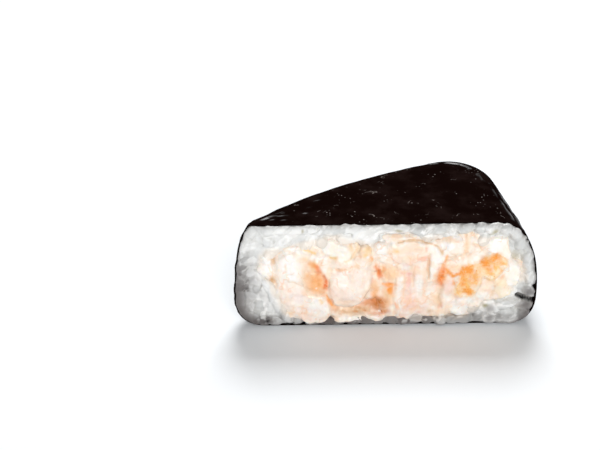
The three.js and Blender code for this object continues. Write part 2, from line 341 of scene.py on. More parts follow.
def planStations(perArc):
    # points of the plan outline and their outward normals, from the tip round to the base
    form = wrapForm
    tip = np.array([-form["cutLength"] / 2 + form["tipRadius"], 0.0])
    base = np.array([form["cutLength"] / 2 - form["baseSideRadius"], 0.0])
    cornerY = form["halfDepth"] - form["cornerRadius"]
    reach = form["baseSideRadius"] - form["cornerRadius"]
    corner = np.array([base[0] + math.sqrt(reach ** 2 - cornerY ** 2), cornerY])
    toTip = form["longSideRadius"] - form["tipRadius"]
    toCorner = form["longSideRadius"] - form["cornerRadius"]
    span = np.linalg.norm(corner - tip)
    along = (toTip ** 2 - toCorner ** 2 + span ** 2) / (2 * span)
    aside = math.sqrt(toTip ** 2 - along ** 2)
    way = (corner - tip) / span
    side = tip + way * along + np.array([way[1], -way[0]]) * aside
    leaveTip, meetCorner, leaveCorner = angleTo(side, tip), angleTo(side, corner), angleTo(base, corner)
    arcs = [
        (tip, form["tipRadius"], math.pi, leaveTip),
        (side, form["longSideRadius"], leaveTip, meetCorner),
        (corner, form["cornerRadius"], meetCorner, leaveCorner),
        (base, form["baseSideRadius"], leaveCorner, 0.0),
    ]
    points, normals = [], []
    for (centre, radius, start, end), steps in zip(arcs, perArc):
        for step in range(steps):
            angle = start + (end - start) * step / steps
            normal = np.array([math.cos(angle), math.sin(angle)])
            points.append(centre + normal * radius)
            normals.append(normal)
    points.append(base + np.array([form["baseSideRadius"], 0.0]))
    normals.append(np.array([1.0, 0.0]))
    return np.array(points), np.array(normals)


def sectionLevels(flat, curved):
    # share from the pole to the rounded edge, and the angle round that edge
    under, over = flat
    low = [(i / under, -math.pi / 2) for i in range(under)]
    edge = [(1.0, (i / curved - 0.5) * math.pi) for i in range(curved + 1)]
    high = [(i / over, math.pi / 2) for i in range(over - 1, -1, -1)]
    return np.array(low + edge + high)


def wrapGrid(kind, inset):
    # a grid of points round the wrapped body, drawn in by an inset and raised by the sheet's relief
    form = wrapForm
    perArc, flat, curved = wrapGrids[kind]
    points, normals = planStations(perArc)
    levels = sectionLevels(flat, curved)
    share, angle = levels[:, 0][None], levels[:, 1][None]
    toBase = ramp(points[:, 0], -form["cutLength"] / 2, form["cutLength"] / 2)[:, None]
    lower = form["lowerPull"][0] + (form["lowerPull"][1] - form["lowerPull"][0]) * toBase
    upper = form["upperPull"][0] + (form["upperPull"][1] - form["upperPull"][0]) * toBase
    below = angle < 0
    power = np.where(below, 2 / form["lowerPower"], 2 / form["upperPower"])
    pull = np.where(below, lower, upper) - inset
    reach = np.abs(np.cos(angle)) ** power
    rise = np.abs(np.sin(angle)) ** power
    off = -inset - pull * (1 - reach)
    middle = form["waist"] * form["height"]
    z = np.where(below, middle + (inset - middle) * rise, middle + (form["height"] - inset - middle) * rise)
    edgeX = points[:, :1] + normals[:, :1] * off
    edgeY = points[:, 1:] + normals[:, 1:] * off
    x = form["poleX"] + (edgeX - form["poleX"]) * share
    y = edgeY * share
    grid = np.stack([x, y, z + 0 * x], axis=2)
    lean = np.cos(angle) * share
    up = np.sign(angle) * np.sqrt(np.maximum(1 - lean ** 2, 0))
    outward = np.stack([normals[:, :1] * lean, normals[:, 1:] * lean, up + 0 * x], axis=2)
    height = sheetRelief(grid.reshape(-1, 3)).reshape(x.shape)
    return grid + outward * height[:, :, None]


noriSheet = {
    "thickness": 0.3,
    "clearance": {"outline": 0.12, "face": 0.08, "core": 0.5},  # kept between the sheet and the rice
    "ripple": (13.0, 0.14),  # wavelength, depth
    "crinkle": (3.4, 0.05),
    "paper": (1.3, 0.02, (0.6, 3)),  # wavelength, depth, and the heights over which it starts
    "tipCreases": {
        "reach": 18.0,
        "whole": 0.3,  # share of the reach over which they keep their full height
        "height": 0.15,
        "stretch": (0.11, 0.62, 0.5),
        "slant": 0.22,
        "sharp": 2.6,
        "lowest": -0.7,
    },
    "sideCrush": {"depth": 0.2, "size": 4.2, "across": (31, 36.5), "inward": (1, 7), "sharp": 2.2},
    "clearOfRest": (1.5, 6.0),
    "sink": 0.12,
    "creaseSheen": (0.02, 0.14),  # heights where a raised line starts to shine and shines in full
    "scuffs": {
        "across": (30.5, 34),
        "up": (8, 14),
        "inward": (0.5, 4),
        "size": 1.1,
        "stretch": (1, 0.35, 1.6),
        "spread": (0.1, 0.75),
        "strength": 0.75,
    },
    "lineLooks": {"wander": (2.6, 0.35), "upperSide": (12, 20), "breakSize": 2.4, "breaks": (-0.55, 0.25)},
    # thin raised lines in plan, x and y along the sheet: line, half width, height
    "tipLines": [
        ([(-26.4, 4.3), (-23.4, 5.3), (-20.3, 5.9)], 0.28, 0.14),
        ([(-25.6, 6.2), (-22.8, 4.5), (-20.7, 2.9)], 0.25, 0.12),
        ([(-28.6, 2.6), (-25.0, 2.2)], 0.25, 0.12), ([(-29.2, 3.8), (-27.1, 4.6)], 0.25, 0.12),
        ([(-19.7, 8.5), (-16.8, 9.5), (-14.6, 9.8)], 0.25, 0.1),
        ([(-27.6, 5.4), (-24.8, 7.4), (-22.0, 8.6)], 0.25, 0.1),
        ([(-22.8, 1.6), (-19.6, 1.3), (-16.8, 1.8)], 0.22, 0.1),
        ([(-17.7, 12.4), (-15.7, 13.1)], 0.25, 0.1),
        ([(-31.6, 2.4), (-29.6, 3.2), (-28.2, 4.9)], 0.3, 0.12),
    ],
    "backLines": [
        ([(15.0, 36.3), (20.3, 37.0), (23.6, 35.7), (26.2, 32.7), (27.5, 29.4)], 0.4, 0.3),
        ([(25.4, 32.4), (27.0, 29.0), (27.7, 24.8)], 0.35, 0.2),
        ([(28.9, 24.4), (29.5, 17.3), (29.8, 10.6)], 0.35, 0.16),
        ([(29.9, 12.1), (30.2, 5.7), (30.6, 0.6)], 0.35, 0.18),
        ([(31.4, 20), (32.2, 12), (32.6, 4)], 0.4, 0.2), ([(34.2, 15), (34.6, 8), (34.9, 2)], 0.45, 0.25),
    ],
}


def raisedLines(points, lines):
    # height of thin broken creases on the upper side of the sheet
    looks = noriSheet["lineLooks"]
    size, reach = looks["wander"]
    plan = points[:, :2] + reach * latticeSet(points, size, (71, 72))
    upper = ramp(points[:, 2], *looks["upperSide"])
    broken = ramp(lattice(points, looks["breakSize"], 75), *looks["breaks"])
    total = np.zeros(len(points))
    for line, width, height in lines:
        away = toLine(plan, line)
        near = away < width * 3
        total[near] = np.maximum(total[near], height * np.exp(-((away[near] / width) ** 2)))
    return total * upper * broken


def sheetRelief(points):
    s = noriSheet
    x, y, z = points[:, 0], points[:, 1], points[:, 2]
    clear = ramp(z, *s["clearOfRest"])
    height = s["ripple"][1] * lattice(points, s["ripple"][0], 3)
    height += s["crinkle"][1] * lattice(points * np.array([0.8, 1, 1]), s["crinkle"][0], 5)
    # soft creases that run back from the tip
    tip = s["tipCreases"]
    along, across, up = tip["stretch"]
    fromTip = np.hypot(x + halfLength, y)
    near = 1 - ramp(fromTip, tip["reach"] * tip["whole"], tip["reach"])
    drawn = np.stack([x * along, (y - tip["slant"] * (x + halfLength)) * across, z * up], axis=1)
    crease = 1 - np.abs(lattice(drawn, 1.0, 11)) * tip["sharp"]
    height += tip["height"] * near * np.clip(crease, tip["lowest"], 1)
    # crushed wall on the base side
    side = s["sideCrush"]
    wall = ramp(x, *side["across"]) * ramp(y, *side["inward"])
    dents = np.abs(lattice(points * np.array([1, 1, 0.6]), side["size"], 8))
    height += side["depth"] * wall * (1 - side["sharp"] * dents)
    return clear * (height - s["sink"])


def dropLoose(work):
    loose = [point for point in work.verts if not point.link_faces]
    bmesh.ops.delete(work, geom=loose, context="VERTS")


def makeNori(material):
    s = noriSheet
    layers = [wrapGrid("sheet", inset) for inset in (0.0, s["thickness"])]
    columns, rows = layers[0].shape[:2]
    count = columns * rows
    points = np.concatenate([layer.reshape(-1, 3) for layer in layers])

    def at(layer, column, row):
        column = 0 if row in (0, rows - 1) else column
        return layer * count + column * rows + row

    faces = []

    def quad(*corners):
        ring = [at(*corner) for corner in corners]
        faces.append([point for number, point in enumerate(ring) if point != ring[number - 1]])

    last = columns - 1
    for column in range(last):
        for row in range(rows - 1):
            after = column + 1
            quad((0, column, row), (0, column, row + 1), (0, after, row + 1), (0, after, row))
            quad((1, column, row), (1, after, row), (1, after, row + 1), (1, column, row + 1))
    for row in range(rows - 1):
        quad((0, 0, row), (1, 0, row), (1, 0, row + 1), (0, 0, row + 1))
        quad((0, last, row), (0, last, row + 1), (1, last, row + 1), (1, last, row))
    made = cleanObject("noriSheet", points, faces, dropLoose)
    mesh = made.data
    place = pointsOf(mesh)
    lines = raisedLines(place, s["tipLines"] + s["backLines"])
    size, depth, above = s["paper"]
    fine = depth * ramp(place[:, 2], *above) * cloudy(place, size, 31)
    outer = np.arange(len(place)) < len(place) // 2
    setPoints(mesh, place + normalsOf(mesh) * (fine + lines * outer)[:, None])
    # scuffs on the base side take a sheen, as the creases do
    scuff = s["scuffs"]
    x, y, z = place.T
    wall = ramp(x, *scuff["across"]) * ramp(z, *scuff["up"]) * ramp(y, *scuff["inward"])
    scuffed = ramp(lattice(place * np.array(scuff["stretch"]), scuff["size"], 44), *scuff["spread"])
    setMask(mesh, "crease", np.maximum(ramp(lines, *s["creaseSheen"]), scuff["strength"] * wall * scuffed))
    finishPiece(made, ["nori_wrap"], material)


def addNode(tree, kind, **settings):
    node = tree.nodes.new(kind)
    for key, value in settings.items():
        setattr(node, key, value)
    return node


def feed(tree, value, socket):
    # from another node's socket, or as a plain value
    if isinstance(value, bpy.types.NodeSocket):
        tree.links.new(value, socket)
    else:
        socket.default_value = value


def setInputs(node, values):
    for name, value in values.items():
        node.inputs[name].default_value = value


def newGroup(name, inputs, outputs):
    group = bpy.data.node_groups.new(name, "ShaderNodeTree")
    for socketName, value in inputs.items():
        kind = "NodeSocketColor" if isinstance(value, tuple) else "NodeSocketFloat"
        made = group.interface.new_socket(socketName, in_out="INPUT", socket_type=kind)
        made.default_value = value
    for socketName, kind in outputs.items():
        group.interface.new_socket(socketName, in_out="OUTPUT", socket_type=kind)
    return group, addNode(group, "NodeGroupInput").outputs, addNode(group, "NodeGroupOutput").inputs


def mixColour(tree, factor, first, second):
    mix = addNode(tree, "ShaderNodeMix", data_type="RGBA", blend_type="MIX")
    for number, value in ((0, factor), (6, first), (7, second)):
        feed(tree, value, mix.inputs[number])
    return mix.outputs[2]


def mapped(tree, value, low, high, outLow=0.0, outHigh=1.0):
    node = addNode(tree, "ShaderNodeMapRange", interpolation_type="SMOOTHSTEP")
    for socket, number in zip(node.inputs, (value, low, high, outLow, outHigh)):
        feed(tree, number, socket)
    return node.outputs[0]


def objectPlace(tree):
    return addNode(tree, "ShaderNodeTexCoord").outputs["Object"]


def noiseValue(tree, scale, detail=3.0, roughness=0.5):
    node = addNode(tree, "ShaderNodeTexNoise")
    feed(tree, objectPlace(tree), node.inputs["Vector"])
    feed(tree, scale, node.inputs["Scale"])
    setInputs(node, {"Detail": detail, "Roughness": roughness})
    return node.outputs[0]


def calc(tree, operation, first, second):
    node = addNode(tree, "ShaderNodeMath", operation=operation)
    for socket, value in zip(node.inputs, (first, second)):
        feed(tree, value, socket)
    return node.outputs[0]


def patchMask(tree, entry, detail, softness):
    # loose patches, fewer where the rarity is high
    patch = noiseValue(tree, entry["Patches"], detail)
    return mapped(tree, patch, entry["Rarity"], calc(tree, "ADD", entry["Rarity"], softness))


toneNames = ("Join", "Pale", "Pink", "Peach", "Tan", "Mustard", "Orange", "Red", "Brown")


def makeSpeckles():
    # sparse bright or dark specks in loose patches
    inputs = {"Scale": 900.0, "Size": 0.12, "Patches": 120.0, "Rarity": 0.55}
    group, entry, leave = newGroup("specks", inputs, {"Mask": "NodeSocketFloat"})
    cells = addNode(group, "ShaderNodeTexVoronoi")
    feed(group, objectPlace(group), cells.inputs["Vector"])
    feed(group, entry["Scale"], cells.inputs["Scale"])
    speck = mapped(group, cells.outputs["Distance"], entry["Size"], 0.0)
    shade = addNode(group, "ShaderNodeSeparateColor")
    feed(group, cells.outputs["Color"], shade.inputs[0])
    some = mapped(group, shade.outputs[0], 0.55, 0.8)
    mask = calc(group, "MULTIPLY", calc(group, "MULTIPLY", speck, patchMask(group, entry, 2.0, 0.08)), some)
    feed(group, mask, leave["Mask"])
    return group


def makeScratches():
    # short thin curved scratches in loose patches
    inputs = {"Scale": 170.0, "Width": 0.01, "Patches": 190.0, "Rarity": 0.6}
    group, entry, leave = newGroup("scratches", inputs, {"Mask": "NodeSocketFloat"})
    lines = noiseValue(group, entry["Scale"], 2.0)
    away = calc(group, "ABSOLUTE", calc(group, "SUBTRACT", lines, 0.5), 0.0)
    line = mapped(group, away, entry["Width"], 0.0)
    feed(group, calc(group, "MULTIPLY", line, patchMask(group, entry, 3.0, 0.06)), leave["Mask"])
    return group


def makeSoftRelief():
    # two sizes of soft unevenness as a surface normal and as a height
    inputs = {"Scale": 700.0, "Fine scale": 2600.0, "Strength": 0.3, "Depth": 0.0002}
    outputs = {"Normal": "NodeSocketVector", "Height": "NodeSocketFloat"}
    group, entry, leave = newGroup("softRelief", inputs, outputs)
    coarse = noiseValue(group, entry["Scale"], 3.0)
    fine = noiseValue(group, entry["Fine scale"], 2.0)
    height = calc(group, "ADD", coarse, calc(group, "MULTIPLY", fine, 0.4))
    bump = addNode(group, "ShaderNodeBump")
    feed(group, height, bump.inputs["Height"])
    feed(group, entry["Strength"], bump.inputs["Strength"])
    feed(group, entry["Depth"], bump.inputs["Distance"])
    feed(group, bump.outputs["Normal"], leave["Normal"])
    feed(group, height, leave["Height"])
    return group


def makeTinting():
    # a base colour with painted tones laid over it, each broken up by fine noise
    inputs = {"Base": (0.9, 0.8, 0.7, 1), "Base variation": (0.9, 0.75, 0.6, 1)}
    inputs.update({tone: (1, 1, 1, 1) for tone in toneNames})
    inputs.update({tone + " mask": 0.0 for tone in toneNames})
    inputs.update({"Mottle": 240.0, "Grain": 900.0, "Breakup": 0.5})
    group, entry, leave = newGroup("layeredTint", inputs, {"Color": "NodeSocketColor"})
    broad = mapped(group, noiseValue(group, entry["Mottle"], 4.0), 0.42, 0.62)
    colour = mixColour(group, broad, entry["Base"], entry["Base variation"])
    fine = calc(group, "SUBTRACT", noiseValue(group, entry["Grain"], 3.0, 0.6), 0.5)
    offset = calc(group, "MULTIPLY", fine, entry["Breakup"])
    for tone in toneNames:
        painted = entry[tone + " mask"]
        mask = calc(group, "ADD", painted, calc(group, "MULTIPLY", offset, painted))
        mask = calc(group, "MAXIMUM", calc(group, "MINIMUM", mask, 1.0), 0.0)
        colour = mixColour(group, mask, colour, entry[tone])
    feed(group, colour, leave["Color"])
    return group


speckles = makeSpeckles()
scratches = makeScratches()
softRelief = makeSoftRelief()
tinting = makeTinting()


def placeGroup(tree, group, values):
    node = addNode(tree, "ShaderNodeGroup", node_tree=group)
    setInputs(node, values)
    return node


def newMaterial(name):
    material = bpy.data.materials.new(name)
    material.use_nodes = True
    tree = material.node_tree
    return material, tree, tree.nodes["Principled BSDF"]


def maskOf(tree, name):
    return addNode(tree, "ShaderNodeAttribute", attribute_name=name).outputs["Fac"]


noriFinish = {
    "dark": (0.0046, 0.0018, 0.0014, 1),
    "light": (0.0105, 0.0055, 0.0048, 1),
    # painted glints: pale specks and short streaks in the near-black base colour stand in for glints of light
    "paintedGlint": (0.30, 0.27, 0.25, 1),
    "paintedGlints": {"Scale": 1150.0, "Size": 0.27, "Patches": 130.0, "Rarity": 0.545},
    "paintedGlintLine": (0.14, 0.12, 0.11, 1),
    "paintedGlintLines": {"Scale": 260.0, "Width": 0.012, "Patches": 330.0, "Rarity": 0.605},
    "relief": {"Scale": 520.0, "Fine scale": 2600.0, "Strength": 0.35, "Depth": 0.00025},
    "mottle": 160.0,
    "fibres": 900.0,
    "roughness": (0.5, 0.7),
    "creaseSheen": 0.7,
    "surface": {"Specular IOR Level": 0.0, "Coat Roughness": 0.3},
}


def makeNoriMaterial():
    s = noriFinish
    material, tree, shader = newMaterial("toastedNori")
    mottle = noiseValue(tree, s["mottle"], 5.0, 0.6)
    colour = mixColour(tree, mapped(tree, mottle, 0.4, 0.7), s["dark"], s["light"])
    # painted glints laid into the base colour
    paintedGlints = placeGroup(tree, speckles, s["paintedGlints"])
    colour = mixColour(tree, paintedGlints.outputs["Mask"], colour, s["paintedGlint"])
    paintedGlintLines = placeGroup(tree, scratches, s["paintedGlintLines"])
    feed(tree, mixColour(tree, paintedGlintLines.outputs["Mask"], colour, s["paintedGlintLine"]), shader.inputs["Base Color"])
    fibres = noiseValue(tree, s["fibres"], 4.0, 0.6)
    feed(tree, mapped(tree, fibres, 0.35, 0.65, *s["roughness"]), shader.inputs["Roughness"])
    feed(tree, placeGroup(tree, softRelief, s["relief"]).outputs["Normal"], shader.inputs["Normal"])
    gloss = mapped(tree, maskOf(tree, "crease"), 0.0, 1.0, 0.0, s["creaseSheen"])
    feed(tree, gloss, shader.inputs["Coat Weight"])
    setInputs(shader, s["surface"])
    return material


riceFinish = {
    "grain": (0.84, 0.84, 0.825, 1),
    "bright": (0.94, 0.935, 0.915, 1),
    "clear": (0.60, 0.605, 0.59, 1),
    # dark seams between grains, and painted shade in the sunk places between them
    "gap": (0.46, 0.43, 0.38, 1),
    "creamy": (0.92, 0.76, 0.60, 1),
    "stained": (0.42, 0.38, 0.24, 1),
    # painted shade laid on the rice beside the nori, along the bottom and at the tip end
    "paintedRiceShade": (0.10, 0.083, 0.078, 1),
    # near black painted into the holes as the shade inside them
    "shadedOpening": (0.006, 0.005, 0.005, 1),
    "milk": {"scale": 500.0, "strength": 0.3},
    "roughness": (0.28, 0.5),
    "relief": {"Scale": 900.0, "Fine scale": 3200.0, "Strength": 0.4, "Depth": 0.00016},
    "surface": {
        "Subsurface Weight": 0.22,
        "Subsurface Radius": (1.0, 0.95, 0.85),
        "Subsurface Scale": 0.0007,
        "Coat Weight": 0.25,
        "Coat Roughness": 0.18,
    },
}
riceMasks = ("bright", "clear", "gap", "creamy", "stained", "paintedRiceShade", "shadedOpening")


def makeRiceMaterial():
    s = riceFinish
    material, tree, shader = newMaterial("cookedRice")
    milky = noiseValue(tree, s["milk"]["scale"], 4.0)
    colour = s["grain"]
    for mask in riceMasks:
        colour = mixColour(tree, maskOf(tree, mask), colour, s[mask])
        if mask == "clear":
            share = mapped(tree, milky, 0.5, 0.75, 0.0, s["milk"]["strength"])
            colour = mixColour(tree, share, colour, s["bright"])
    feed(tree, colour, shader.inputs["Base Color"])
    feed(tree, mapped(tree, milky, 0.35, 0.7, *s["roughness"]), shader.inputs["Roughness"])
    feed(tree, placeGroup(tree, softRelief, s["relief"]).outputs["Normal"], shader.inputs["Normal"])
    setInputs(shader, s["surface"])
    return material


# tones painted on the filling; Tan also stands for painted shade in creases and crevices, Brown for painted
# shade in the hollow, and Pale in places for painted highlights
fillingTones = {
    "Join": (0.98, 0.82, 0.70, 1),
    "Pale": (1.0, 0.958, 0.912, 1),
    "Pink": (0.93, 0.54, 0.44, 1),
    "Peach": (0.98, 0.65, 0.40, 1),
    "Tan": (0.74, 0.48, 0.27, 1),
    "Mustard": (0.92, 0.58, 0.20, 1),
    "Orange": (0.94, 0.34, 0.045, 1),
    "Red": (0.82, 0.19, 0.035, 1),
    "Brown": (0.66, 0.22, 0.04, 1),
}


# What every filling material has, unless its own entry says otherwise.
fillingLook = {
    "roughness": (0.25, 0.45),
    "glow": 0.3,
    "coat": 0.3,
    "mottle": 240.0,
    "grain": 900.0,
    "breakup": 0.7,
    "vein": (0.93, 0.55, 0.33, 1),
    "veins": {"Scale": 210.0, "Width": 0.022, "Patches": 170.0, "Rarity": 0.47},
    "veinStrength": 0.45,
    "bit": (1.0, 0.97, 0.93, 1),
    "bits": {"Scale": 630.0, "Size": 0.42, "Patches": 190.0, "Rarity": 0.5},
    "bitStrength": 0.75,
    "uneven": 420.0,
    "surface": {
        "Subsurface Radius": (1.0, 0.62, 0.42),
        "Subsurface Scale": 0.0007,
        "Coat Roughness": 0.15,
    },
}

# Each filling material: its own colours, and its relief as scale, fine scale, strength and depth.
fillingLooks = {
    "prawnCream": {
        "base": (0.99, 0.86, 0.75, 1),
        "variation": (0.98, 0.73, 0.55, 1),
        "relief": (800.0, 2600.0, 0.9, 0.0003),
        "glow": 0.25,
    },
    "cookedPrawn": {
        "base": (0.99, 0.86, 0.76, 1),
        "variation": (0.98, 0.75, 0.62, 1),
        "relief": (600.0, 2200.0, 0.5, 0.0003),
        "roughness": (0.22, 0.4),
    },
    "crabStrands": {
        "base": (0.98, 0.73, 0.60, 1),
        "variation": (0.96, 0.61, 0.46, 1),
        "relief": (700.0, 2400.0, 0.6, 0.0003),
        "glow": 0.25,
    },
    "grainyOrange": {
        "base": (0.98, 0.56, 0.18, 1),
        "variation": (0.99, 0.74, 0.42, 1),
        "relief": (1800.0, 5200.0, 0.6, 0.0003),
        "roughness": (0.3, 0.5),
        "glow": 0.2,
        "coat": 0.15,
        "mottle": 1100.0,
        "grain": 1900.0,
        "breakup": 2.2,
        "bit": (0.90, 0.30, 0.03, 1),
        "bits": {"Scale": 1330.0, "Size": 0.42, "Patches": 190.0, "Rarity": 0.38},
        "bitStrength": 0.8,
    },
    "yellowPiece": {
        "base": (0.97, 0.75, 0.47, 1),
        "variation": (0.98, 0.84, 0.62, 1),
        "relief": (700.0, 2400.0, 0.3, 0.0002),
        "roughness": (0.25, 0.4),
    },
    "whiteCurd": {
        "base": (1.0, 0.96, 0.90, 1),
        "variation": (0.98, 0.92, 0.83, 1),
        "relief": (600.0, 2400.0, 0.2, 0.0002),
        "roughness": (0.2, 0.4),
        "glow": 0.35,
    },
}


def makeFillingMaterial(name):
    s = {**fillingLook, **fillingLooks[name]}
    material, tree, shader = newMaterial(name)
    tint = placeGroup(tree, tinting, {
        "Base": s["base"],
        "Base variation": s["variation"],
        "Mottle": s["mottle"],
        "Grain": s["grain"],
        "Breakup": s["breakup"],
    })
    for tone in toneNames:
        tint.inputs[tone].default_value = fillingTones[tone]
        feed(tree, maskOf(tree, tone.lower()), tint.inputs[tone + " mask"])
    veins = placeGroup(tree, scratches, s["veins"])
    share = mapped(tree, veins.outputs["Mask"], 0.0, 1.0, 0.0, s["veinStrength"])
    colour = mixColour(tree, share, tint.outputs["Color"], s["vein"])
    bits = placeGroup(tree, speckles, s["bits"])
    share = mapped(tree, bits.outputs["Mask"], 0.0, 1.0, 0.0, s["bitStrength"])
    feed(tree, mixColour(tree, share, colour, s["bit"]), shader.inputs["Base Color"])
    uneven = noiseValue(tree, s["uneven"], 3.0)
    feed(tree, mapped(tree, uneven, 0.35, 0.7, *s["roughness"]), shader.inputs["Roughness"])
    relief = dict(zip(("Scale", "Fine scale", "Strength", "Depth"), s["relief"]))
    feed(tree, placeGroup(tree, softRelief, relief).outputs["Normal"], shader.inputs["Normal"])
    setInputs(shader, {**s["surface"], "Subsurface Weight": s["glow"], "Coat Weight": s["coat"]})
    return material


fillingMaterials = {name: makeFillingMaterial(name) for name in fillingLooks}


makeNori(makeNoriMaterial())
print("nori made")

# Where the filling shows on the cut face.
fillingEdge = [
    (-27.6, 21.4), (-29.8, 21.6), (-31.2, 20), (-31.8, 17), (-30.6, 14.4), (-28.8, 12.2), (-27.9, 9),
    (-26.8, 6), (-24.6, 2.6), (-22, 2.1), (-20, 1.5), (-17, 0.9), (-14, 1.8), (-12, 1.9), (-9, 1.4),
    (-4, 2.2), (-0.5, 3.1), (4, 2.4), (8, 1.8), (12, 1.2), (14.5, 2.2), (16, 3), (18, 2.2), (20, 2.2),
    (21.6, 3.4), (24, 5.2), (26, 6.8), (29, 8.3), (31.4, 9.8), (33.6, 12.4), (34, 16), (32.4, 18.2),
    (29.6, 21), (28, 23), (24.5, 24.4), (20.6, 25.8), (19.5, 26.6), (15.5, 24.8), (12, 24.6), (8, 24.6),
    (4, 25), (-1, 24.4), (-3.2, 23.6), (-5.6, 23.0), (-8.2, 24.0), (-12, 25.4), (-16, 24.6), (-19, 23.6),
    (-22, 22.8), (-26, 21.6),
]


def searchTree(points):
    tree = KDTree(len(points))
    for index, point in enumerate(points):
        tree.insert(point, index)
    tree.balance()
    return tree


def insideRing(points, ring):
    inside = np.zeros(len(points), bool)
    for (x0, z0), (x1, z1) in zip(ring, ring[1:] + ring[:1]):
        crosses = (points[:, 1] < z0) != (points[:, 1] < z1)
        reach = x0 + (points[:, 1] - z0) / (z1 - z0 + 1e-12) * (x1 - x0)
        inside ^= crosses & (points[:, 0] < reach)
    return inside


def ringDistance(points, ring):
    # distance to a closed ring, below 0 inside it
    away = toLine(points, ring + ring[:1])
    return np.where(insideRing(points, ring), -away, away)


def cutOutline(inset):
    # ring of the wrapped body on the cut, drawn in by an inset
    grid = wrapGrid("outline", inset)
    ring = np.concatenate([grid[0, :, :], grid[-1, ::-1, :]])
    return [(float(x), float(z)) for x, _, z in ring]


riceRoom = cutOutline(noriSheet["thickness"] + noriSheet["clearance"]["outline"])


def wrapTree(inset):
    # the inner face of the sheet: its points, the ways out of it, and a search tree
    points = wrapGrid("search", inset)
    inside = np.array([0, 14, wrapForm["waist"] * wrapForm["height"]])
    way = np.empty_like(points)
    way[1:-1] = np.cross(points[2:] - points[:-2], np.gradient(points[1:-1], axis=1))
    way[0] = way[1] * np.array([1, 0, 1])
    way[-1] = way[-2] * np.array([1, 0, 1])
    points, way = points.reshape(-1, 3), way.reshape(-1, 3)
    length = np.linalg.norm(way, axis=1)
    good = length > 1e-6
    points, way = points[good], way[good] / length[good][:, None]
    way *= np.sign((way * (points - inside)).sum(axis=1))[:, None]
    return points, way, searchTree(points)


innerFace = wrapTree(noriSheet["thickness"] + noriSheet["clearance"]["face"])


def beyondWrap(points, face):
    # how far each point lies outside the sheet's inner face, and the way out
    facePoints, ways, tree = face
    nearest = np.array([tree.find(point)[1] for point in points])
    out = ((points - facePoints[nearest]) * ways[nearest]).sum(axis=1)
    return out, ways[nearest]


def keptInside(points, face, slack=0.0):
    out, ways = beyondWrap(points, face)
    return points - ways * np.clip(out - slack, 0, None)[:, None]


